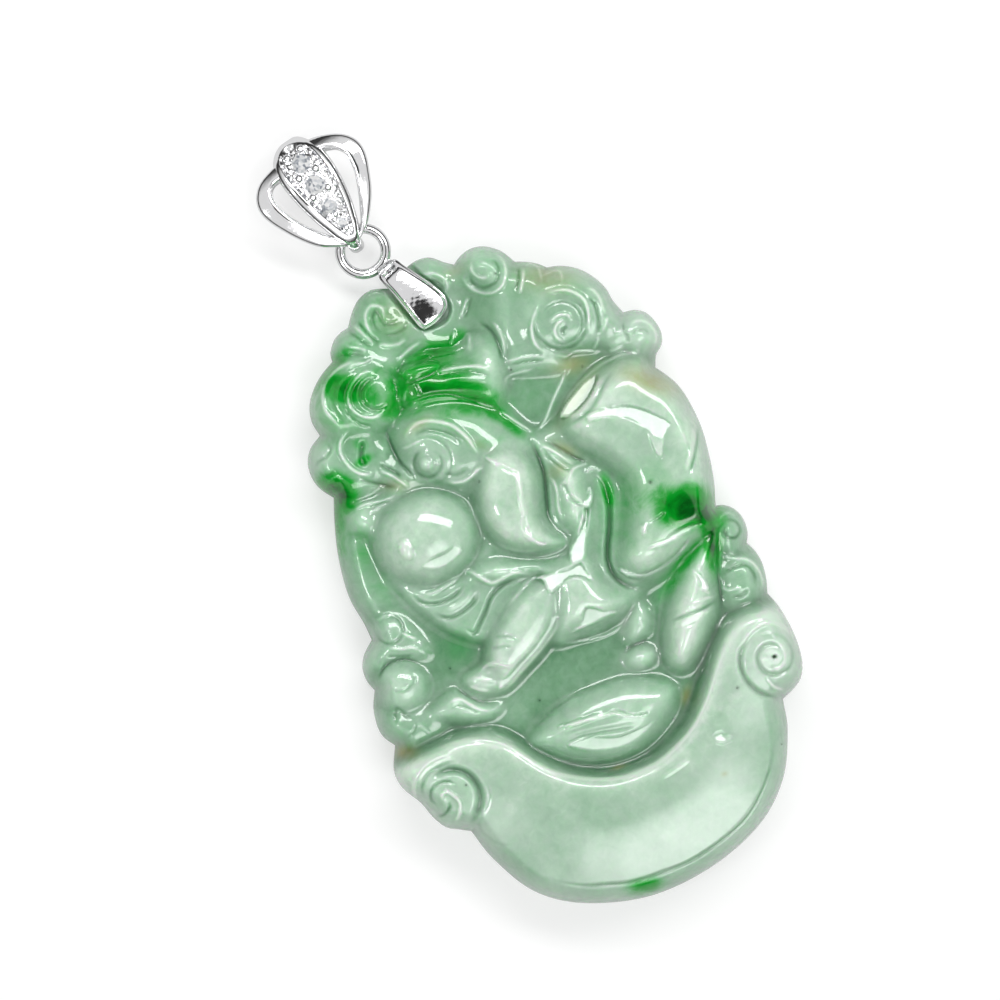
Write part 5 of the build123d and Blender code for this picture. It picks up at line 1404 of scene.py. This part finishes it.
def stone_tone(face, rim):
    """Painted light and shade: crests are paler, hollows and the rim darker, each fine ridge gets a painted
    highlight and each groove painted shade.
    """
    z = face.z
    near, wide = z - around_near(face.x, face.y), z - around_wide(face.x, face.y)
    # Painted shade where the ground lies deep
    deep = zone(places, DEEP_SHADE_PATCHES) * np.clip((DEEP_BELOW - z) / DEEP_FADE, DEEP_LEAST, 1)
    # Painted shade in hollows and painted light on crests, from how far each place stands over the stone
    # near it and wide round it, and paler where it stands high
    tone = BODY_TONE + NEAR_LIGHT_AND_SHADE * np.clip(near, -0.8, 0.4) + WIDE_LIGHT_AND_SHADE * np.clip(wide, -2.5, 1.5)
    tone += HEIGHT_PAINTED_LIGHT * (z - MEAN_HEIGHT) + PAINTED_LINE_TONE * np.clip(face.line_light_and_shade, -1, 1) - DEEP_SHADE * deep
    # Painted shade where the face rolls over at the rim
    tone -= RIM_SHADE * (1 - smooth_step(rim / RIM_SHADE_WIDTH))
    # The upper part of the stone is a little darker
    return tone - UPPER_DARKENING * smooth_step((face.y - UPPER_FROM) / UPPER_FADE)


def add_stone():
    points, faces, face, rim = stone_mesh()
    stone = new_piece("jade_stone", points, faces, polished_jade)
    flat = points[:, :2]
    wall = np.zeros(len(points) - len(places))
    tone = np.concatenate([stone_tone(face, rim), wall + WALL_TONE])
    # Under the painted highlight of a fine ridge the emerald is half as strong
    ridge_highlight = np.concatenate([np.clip(face.line_light_and_shade, 0, 1), wall])
    speck = np.zeros(len(points))
    for x, y, size in DARK_SPECKS:
        far = np.hypot(*(flat - (x, y)).T)
        speck = np.maximum(speck, SPECK_STRENGTH * np.exp(-(far / size) ** 2))
    speck[len(places):] = 0
    emerald = zone(flat, EMERALD) * (1 - 0.5 * ridge_highlight)
    numbers = {"tone": tone, "emerald": emerald, "brown": zone(flat, BROWN), "milk_and_sheen": zone(flat, MILK_AND_SHEEN),
               "speck": speck}
    for name, values in numbers.items():
        layer = stone.data.attributes.new(name, "FLOAT", "POINT")
        layer.data.foreach_set("value", values.astype(np.float32))
    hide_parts("jade_carving")
    print("tone runs from", tone.min().round(2), "to", tone.max().round(2))


add_stone()

# %% [markdown]
# The clip and the bail are cast and bent silver with a bright rhodium finish. A mirror has no colour
# of its own: it shows the white tent and the dark line of the horizon, so its shape is read from
# where the surface turns. A caster works from a flat plate that is domed and bent, and so does this
# cell: a plate is a net of places inside an outline, with a rounded edge, and a bending line
# carries it into space.

# %% Bent plates of silver
EDGE_STEPS = (0.02, 0.06, 0.12, 0.2, 0.3, 0.42)
# The underside's edge is eased by this much, over this distance
UNDER_EASE = 0.12
UNDER_WIDTH = 0.15


def lengths(line):
    """How far along an open line each of its points lies."""
    return np.concatenate([[0], np.cumsum(np.linalg.norm(np.diff(line, axis=0), axis=1))])


def bending(line, origin, turn, start):
    """A function that carries places on a flat plate onto a bent line, seen from the side."""
    way = np.gradient(line, axis=0)
    way /= np.linalg.norm(way, axis=1, keepdims=True)
    length = lengths(line) - start

    def carry(flat, height):
        along, up, slope_a, slope_b = (np.interp(flat[:, 1], length, row) for row in (*line.T, *way.T))
        x, y = turned(flat[:, 0], along - slope_b * height, -turn)
        return np.column_stack([origin[0] + x, origin[1] + y, up + slope_a * height])

    return carry


def plate(outline, height, wall, carry, gap=0.13, lines=()):
    """A closed plate: its top follows a height over each place, and its underside lies a wall below."""
    edge = smooth_line(outline, step=gap)
    rings = [(step, inward(edge, step)) for step in EDGE_STEPS] + [(EDGE_STEPS[0], ring) for ring in lines]
    close = [ring[depth_inside(*ring.T, edge) > step * 0.9] for step, ring in rings]
    grid = hex_grid(edge.min(axis=0), edge.max(axis=0), gap)
    grid = grid[depth_inside(*grid.T, edge) > EDGE_STEPS[-1] + gap * CLEAR_SHARE]
    for ring in lines:
        grid = grid[nearest(*grid.T, ring, True)[0] > gap * 0.5]
    flat = np.concatenate([edge, *close, grid])
    count = len(flat)
    net = triangles_inside(flat, [(0, len(edge))], (0, 0), -1)
    far = np.maximum(depth_inside(*flat.T, edge), 0)
    far[:len(edge)] = 0
    top = carry(flat, height(flat, far))
    under = carry(flat, UNDER_EASE * (1 - np.clip(far / UNDER_WIDTH, 0, 1)) - wall)
    faces = np.concatenate([net, net[:, ::-1] + count, strip(0, count, len(edge))])
    return np.concatenate([top, under]), faces


def rounded(far, radius):
    """How far a rounded edge lies below the face, at a distance from the edge."""
    return radius * (np.sqrt(1 - (1 - np.clip(far / radius, 0, 1)) ** 2) - 1)


def join(shells):
    """Several closed shells as one list of points and faces."""
    points, faces, count = [], [], 0
    for shell_points, shell_faces in shells:
        points.append(shell_points)
        faces.append(np.asarray(shell_faces) + count)
        count += len(shell_points)
    return np.concatenate(points), np.concatenate(faces)


def tube(line, radius, sides=18):
    """A closed ring of round wire along a closed, level line."""
    way = np.roll(line, -1, axis=0) - np.roll(line, 1, axis=0)
    way /= np.linalg.norm(way, axis=1, keepdims=True)
    up = np.array((0, 0, 1))
    side = np.cross(way, up)
    across, above_line = (circle((0, 0), radius, sides).T)[:, :, None]
    points = line[:, None] + across * side[:, None] + above_line * up
    steps = len(line)
    faces = [strip(i * sides, (i + 1) % steps * sides, sides) for i in range(steps)]
    return points.reshape(-1, 3), np.concatenate(faces)


print("edge rings at", EDGE_STEPS, "mm")

# %% [markdown]
# Polished silver is close to a perfect mirror. Its faint waviness and the hairline marks of the
# polishing cloth are what keep it from looking like chrome paint.

# %% Polished silver
# Sizes of the patterns in mm; real hairlines are finer, and are drawn as coarse as they need to show
WEAR_SIZE = 0.6
HAIRLINE = 0.08


def silver():
    material = new_material("polished rhodium on silver")
    tree = material.node_tree
    place = add_node(tree, "ShaderNodeTexCoord").outputs["Object"]
    wear = add_node(tree, "ShaderNodeTexNoise", Vector=place, Scale=1 / (WEAR_SIZE * MM), Detail=3)
    rough = add_node(tree, "ShaderNodeMapRange", Value=wear, From_Min=0.3, From_Max=0.75, To_Min=0.04,
                     To_Max=0.11)
    hair = add_node(tree, "ShaderNodeTexNoise", Vector=place, Scale=1 / (HAIRLINE * MM), Detail=2)
    height = add_node(tree, "ShaderNodeMath", {"operation": "MULTIPLY_ADD"}, i0=hair, i1=0.12, i2=wear)
    bump = add_node(tree, "ShaderNodeBump", Strength=0.6, Distance=0.02 * MM, Height=height)
    shader = add_node(tree, "ShaderNodeBsdfPrincipled", Base_Color=linear("#F4F4F5"), Metallic=1.0,
                      Roughness=rough, Normal=bump)
    add_node(tree, "ShaderNodeOutputMaterial", Surface=shader)
    return material


bright_silver = silver()
print("silver has", len(bright_silver.node_tree.nodes), "nodes")

# %% [markdown]
# The clip is one folded strip. Its tongue lies on the jade, swells to a soft dome and has a thin
# bevelled border; the strip then turns over the stone's edge and runs back underneath to the hole.
# A ring of round wire is soldered to the fold.

# %% Pinch clip
# The strip seen from the side, from the tip of the tongue over the fold to the rear leg
CLIP_SIDE = [(-5.7, 5.02), (-4.7, 5.2), (-3.7, 5.24), (-2.7, 5.19), (-1.7, 5.05), (-0.7, 4.8), (0.1, 4.42),
             (0.6, 3.8), (0.76, 2.7), (0.72, 1.3), (0.38, 0.46), (-0.35, 0.13), (-1.4, 0.1), (-3.4, 0.1),
             (-5.6, 0.1)]
TONGUE = [(-0.94, 0), (-1, -1.6), (-1.16, -3.2), (-1.3, -4.5), (-1.26, -5), (-1, -5.25), (0, -5.42),
          (1.05, -5.24), (1.52, -4.75), (1.66, -4.1), (1.56, -3), (1.3, -1.7), (1.06, -0.6), (0.96, 0.3)]
CLIP_WALL = 0.5
RING_AT = (-3.37, 27.46)
RING_HEIGHT = 2.565
RING_REACH = 1.68
RING_STEPS = 72
RING_WIRE = 0.38
TONGUE_BORDER = 0.15
TONGUE_BEVEL = 0.35
TONGUE_SWELL = 0.24
TONGUE_GROOVE = 0.05


def tongue_height(flat, far):
    """A bevelled border, a fine groove and a soft swell; the fold and the rear leg stay plain."""
    x, y = flat.T
    hammered = 0.006 * np.sin(9 * x + 2 * y) * np.sin(14 * y)
    swell = 0.1 + TONGUE_SWELL * (1 - np.clip((x + 0.1) / 1.6, 0, 1) ** 2) + hammered
    rise = smooth_step((far - TONGUE_BORDER) / 0.16) * swell
    groove = TONGUE_GROOVE * np.exp(-((far - TONGUE_BORDER) / 0.04) ** 2)
    bevel = TONGUE_BEVEL * np.minimum(far, TONGUE_BORDER)
    on_tongue = smooth_step((0.2 - y) / 1.0)
    return rounded(far, 0.08) - 0.1 + (bevel + rise - groove) * on_tongue


def add_clip():
    side = smooth_line(CLIP_SIDE, False, 0.12)
    length = lengths(side)
    start = length[np.argmax(side[:, 0] > 0)]
    carry = bending(side, CLIP_AT, CLIP_LEAN, start)
    total = length[-1] - start
    fold = [(0.62, 1), (0.62, 3.6), (0.9, total * 0.6), (1.05, total - 0.9), (0.7, total - 0.15),
            (-0.3, total - 0.02), (-0.9, total - 0.4), (-0.95, total * 0.6), (-0.62, 3.6), (-0.62, 1)]
    clip = plate(TONGUE + fold, tongue_height, CLIP_WALL, carry)
    ring = circle(RING_AT, RING_REACH, RING_STEPS)
    wire = tube(np.column_stack([ring, np.full(RING_STEPS, RING_HEIGHT)]), RING_WIRE)
    points, faces = join([clip, wire])
    piece = new_piece("silver_clip", points, faces, bright_silver)
    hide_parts("pinch_bail")
    low, high = points[:, 2].min().round(2), points[:, 2].max().round(2)
    print("clip:", len(faces), "triangles, lowest", low, "highest", high)


add_clip()

# %% [markdown]
# The bail opens like a tulip. Its central petal carries a sunk tray of small stones between two
# bright rims, turns over at the head and comes back to the throat as a plain strap. Two side petals
# are open bands. Seen from the side all of them follow one hoop.

# %% Tulip bail
BAIL_AT = (-3.7, 28.4)
BAIL_LEAN = 10.4
BAIL_LONG, BAIL_WIDE, BAIL_HIGH = 9.75, 8.9, 5.5
THROAT = 0.09 * BAIL_LONG
BAIL_WALL = 0.85
# The hoop from the side: from under the throat over the front and the head, and back underneath
HOOP = [(0.3, 0), (0.19, 0.06), (0.09, 0.17), (0.015, 0.33), (0, 0.49), (0.025, 0.66), (0.1, 0.8),
        (0.22, 0.87), (0.36, 0.94), (0.52, 0.99), (0.7, 0.99), (0.86, 0.88), (0.96, 0.68), (1, 0.45),
        (0.96, 0.2), (0.86, 0.05), (0.74, 0), (0.52, 0), (0.3, 0)]
# Half outlines, as shares of width across and of length along
PETAL_LEFT = [(-0.075, 0.06), (-0.13, 0.2), (-0.19, 0.38), (-0.235, 0.6), (-0.245, 0.78), (-0.225, 0.9),
              (-0.17, 0.97)]
PETAL_RIGHT = [(0.13, 0.97), (0.175, 0.9), (0.205, 0.8), (0.215, 0.68), (0.21, 0.54), (0.18, 0.36),
               (0.13, 0.2), (0.07, 0.06)]
TRAY = [(-0.005, 0.13), (-0.06, 0.24), (-0.105, 0.38), (-0.15, 0.55), (-0.175, 0.75), (-0.16, 0.88),
        (-0.1, 0.945), (-0.02, 0.96), (0.06, 0.935), (0.12, 0.87), (0.15, 0.75), (0.152, 0.6), (0.13, 0.42),
        (0.09, 0.26), (0.045, 0.14)]
LEFT_PETAL = [(-0.03, 0.05), (-0.16, 0.11), (-0.3, 0.21), (-0.42, 0.38), (-0.505, 0.57), (-0.51, 0.7),
              (-0.46, 0.8), (-0.36, 0.865), (-0.17, 0.89), (-0.17, 0.79), (-0.3, 0.77), (-0.352, 0.71),
              (-0.36, 0.6), (-0.3, 0.43), (-0.2, 0.27), (-0.1, 0.15)]
RIGHT_PETAL = [(0.03, 0.05), (0.18, 0.13), (0.33, 0.28), (0.43, 0.45), (0.485, 0.6), (0.475, 0.73),
               (0.4, 0.83), (0.26, 0.9), (0.13, 0.92), (0.14, 0.82), (0.23, 0.785), (0.3, 0.74),
               (0.338, 0.65), (0.315, 0.5), (0.235, 0.32), (0.13, 0.15)]
TRAY_DEPTH = 0.38
TRAY_RIPPLE = 0.07
# Lines of places along the tray's edge, so that it comes out clean
TRAY_LIPS = (0, 0.07, -0.07, 0.17)
STRAP_HALF = 1.3
THROAT_HALF = 0.575
PETAL_ROUND = 0.5
SIDE_PETAL_ROUND = 0.3
SIDE_PETAL_WALL = 0.95
SIDE_PETAL_DROP = 0.45


def add_bail():
    hoop = smooth_line([(a * BAIL_LONG - THROAT, b * BAIL_HIGH) for a, b in HOOP], False, 0.10)
    # The line leaves the head at its farthest point; the front is everything before it
    length = lengths(hoop)
    low, far_end = np.argmin(hoop[:, 0]), np.argmax(hoop[:, 0])
    carry = bending(hoop, BAIL_AT, BAIL_LEAN, 0)

    def unrolled(share):
        """A place given by shares, as across and length along the hoop."""
        front = slice(low, far_end + 1)
        place = np.interp(share[1] * BAIL_LONG - THROAT, hoop[front, 0], length[front])
        return share[0] * BAIL_WIDE, float(place)

    def spread(table):
        return [unrolled(share) for share in table]

    tray = smooth_line(spread(TRAY), step=0.11)

    def petal_height(flat, far):
        sunk = smooth_step((depth_inside(*flat.T, tray) + 0.05) / 0.32)
        x, y = flat.T
        ripple = TRAY_RIPPLE * np.sin(x * 9.5 + 1.3 * np.sin(y * 5.1)) * np.sin(y * 8.3)
        return rounded(far, PETAL_ROUND) - sunk * (TRAY_DEPTH + ripple)

    def side_height(flat, far):
        return rounded(far, SIDE_PETAL_ROUND) - SIDE_PETAL_DROP * (flat[:, 0] / (BAIL_WIDE / 2)) ** 2

    # Over the head and back: half widths of the strap and lengths along the hoop, left side then right
    head, tail = length[far_end], length[-1]
    back = [(0.8, head + 0.5), (STRAP_HALF, head + 3.0), (STRAP_HALF * 0.9, head + 6.0),
            (THROAT_HALF * 1.4, head + 8.2), (THROAT_HALF, tail)]
    foot = [(THROAT_HALF, length[low] - 0.6), (THROAT_HALF, 0.0)]
    outline = [*spread(PETAL_LEFT), *((-x, y) for x, y in back), *back[::-1], *spread(PETAL_RIGHT), *foot,
               *((-x, y) for x, y in foot[::-1])]
    lips = [inward(tray, lip) if lip else tray for lip in TRAY_LIPS]
    shells = [plate(outline, petal_height, BAIL_WALL, carry, lines=lips)]
    for table in (LEFT_PETAL, RIGHT_PETAL):
        shells.append(plate(spread(table), side_height, SIDE_PETAL_WALL, carry))
    points, faces = join(shells)
    points[:, 2] = np.maximum(points[:, 2], 0)
    piece = new_piece("silver_bail", points, faces, bright_silver)
    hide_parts("tulip_bail")
    box = points.min(axis=0).round(2), points.max(axis=0).round(2)
    print("bail:", len(faces), "triangles, from", box[0], "to", box[1])
    return carry, unrolled, tray


carry_bail, unrolled_bail, tray_line = add_bail()

# %% [markdown]
# Each stone is held by small beads that the setter raised from the metal, and a row of finer grains
# runs along the tray. They all repeat one dome, so Geometry Nodes place them: a few points with a
# size each, one small ball, and one instance on each point.

# %% Beads and grains of the setting
# Each row: place across and along the bail, as shares of its width and length, and radius
BEADS = [(-0.085, 0.89, 0.33), (0.05, 0.9, 0.33), (-0.095, 0.698, 0.33), (0.066, 0.694, 0.33),
         (-0.085, 0.515, 0.31), (0.066, 0.52, 0.31), (-0.005, 0.32, 0.26), (0.008, 0.19, 0.25)]
BEAD_FLATTEN = 0.9
BEAD_PROUD = 0.04
GRAIN_GAP = 0.55
GRAIN_SIZE = 0.12
GRAIN_STRAY = 0.06
GRAIN_PROUD = 0.06
GRAIN_FROM_WALL = 0.22
GRAIN_SEED = 4


def bead_tree():
    """Points in, with a radius attribute; a ball of that radius on each, as one mesh, out."""
    tree = bpy.data.node_groups.new("setter's beads", "GeometryNodeTree")
    tree.interface.new_socket("Geometry", in_out="INPUT", socket_type="NodeSocketGeometry")
    flatten = tree.interface.new_socket("Flatten", in_out="INPUT", socket_type="NodeSocketFloat")
    tree.interface.new_socket("Geometry", in_out="OUTPUT", socket_type="NodeSocketGeometry")
    start = add_node(tree, "NodeGroupInput")
    ball = add_node(tree, "GeometryNodeMeshIcoSphere", Radius=1.0, Subdivisions=3)
    size = add_node(tree, "GeometryNodeInputNamedAttribute", {"data_type": "FLOAT"}, Name="radius")
    low = add_node(tree, "ShaderNodeMath", TIMES, i0=size, i1=start.outputs["Flatten"])
    scale = add_node(tree, "ShaderNodeCombineXYZ", X=size, Y=size, Z=low)
    spots = add_node(tree, "GeometryNodeInstanceOnPoints", Points=start, Instance=ball, Scale=scale)
    real = add_node(tree, "GeometryNodeRealizeInstances", Geometry=spots)
    metal = add_node(tree, "GeometryNodeSetMaterial", Geometry=real, Material=bright_silver)
    smooth = add_node(tree, "GeometryNodeSetShadeSmooth", Geometry=metal)
    add_node(tree, "NodeGroupOutput", Geometry=smooth)
    return tree, flatten.identifier


def setting_points():
    """Every bead and grain: its place on the flat plate, its radius and its height there."""
    beads = np.array([(*unrolled_bail(row[:2]), row[2]) for row in BEADS])
    grains = hex_grid(tray_line.min(axis=0), tray_line.max(axis=0), GRAIN_GAP)
    grains += np.random.default_rng(GRAIN_SEED).uniform(-GRAIN_STRAY, GRAIN_STRAY, grains.shape)
    grains = grains[depth_inside(*grains.T, tray_line) > GRAIN_FROM_WALL]
    for x, y, radius in beads:
        grains = grains[np.hypot(grains[:, 0] - x, grains[:, 1] - y) > radius + GRAIN_STRAY]
    # A grain stands on the tray's floor, and the head of a bead stands just over the rim
    heights = np.concatenate([BEAD_PROUD - beads[:, 2] * BEAD_FLATTEN,
                              np.full(len(grains), GRAIN_PROUD - TRAY_DEPTH)])
    grains = np.column_stack([grains, np.full(len(grains), GRAIN_SIZE)])
    return np.concatenate([beads, grains]), heights


def add_beads():
    flat, heights = setting_points()
    mesh = bpy.data.meshes.new("setting")
    mesh.from_pydata((carry_bail(flat[:, :2], heights) * MM).tolist(), [], [])
    layer = mesh.attributes.new("radius", "FLOAT", "POINT")
    layer.data.foreach_set("value", (flat[:, 2] * MM).astype(np.float32))
    source = bpy.data.objects.new("setting", mesh)
    bpy.context.collection.objects.link(source)
    tree, flatten = bead_tree()
    modifier = source.modifiers.new("beads", "NODES")
    modifier.node_group = tree
    modifier[flatten] = BEAD_FLATTEN
    done = bpy.data.meshes.new_from_object(source.evaluated_get(bpy.context.evaluated_depsgraph_get()))
    bpy.data.objects.remove(source)
    piece = bpy.data.objects.new("setting_beads", done)
    bpy.context.collection.objects.link(piece)
    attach(piece, "root")
    print("beads and grains:", len(flat), "with", len(done.polygons), "faces")


add_beads()

# %% [markdown]
# The stones are cut cubic zirconia: clear as water, with a high index that throws light back in
# small bright and dark flashes. These flashes are painted reflections, small grey and white cells in
# the stone's colour. Their facets come from the CAD model and stay sharp.

# %% Cut stones
PAINTED_FLASH_SIZE = 0.22
PAINTED_FLASH_TONES = [(0.1, "#9CA2AA"), (0.3, "#DDE1E5"), (0.7, "#FFFFFF")]


def cut_stone():
    material = new_material("cut cubic zirconia")
    tree = material.node_tree
    place = add_node(tree, "ShaderNodeTexCoord").outputs["Object"]
    # Painted reflections: grey and white cells stand in for the flashes of light
    cells = add_node(tree, "ShaderNodeTexVoronoi", Vector=place, Scale=1 / (PAINTED_FLASH_SIZE * MM))
    value = add_node(tree, "ShaderNodeSeparateColor", Color=cells.outputs["Color"])
    painted_flashes = add_node(tree, "ShaderNodeValToRGB", Fac=value.outputs["Red"])
    set_stops(painted_flashes, PAINTED_FLASH_TONES)
    shader = add_node(tree, "ShaderNodeBsdfPrincipled", Base_Color=painted_flashes, Roughness=0.02, IOR=2.15,
                      Transmission_Weight=0.2)
    add_node(tree, "ShaderNodeOutputMaterial", Surface=shader)
    return material


def dress(node, material):
    """Give a carried-over CAD node its finish."""
    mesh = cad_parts[node].data
    mesh.materials.clear()
    mesh.materials.append(material)


clear_stone = cut_stone()
for number in range(1, 5):
    dress(f"pave_stone_{number}", clear_stone)
print("stones dressed with", clear_stone.name)

# %% [markdown]
# Last, a helper that gives the corners of a box as lists.

# %% Corners of a box
def corners(box):
    return [list(corner) for corner in box]
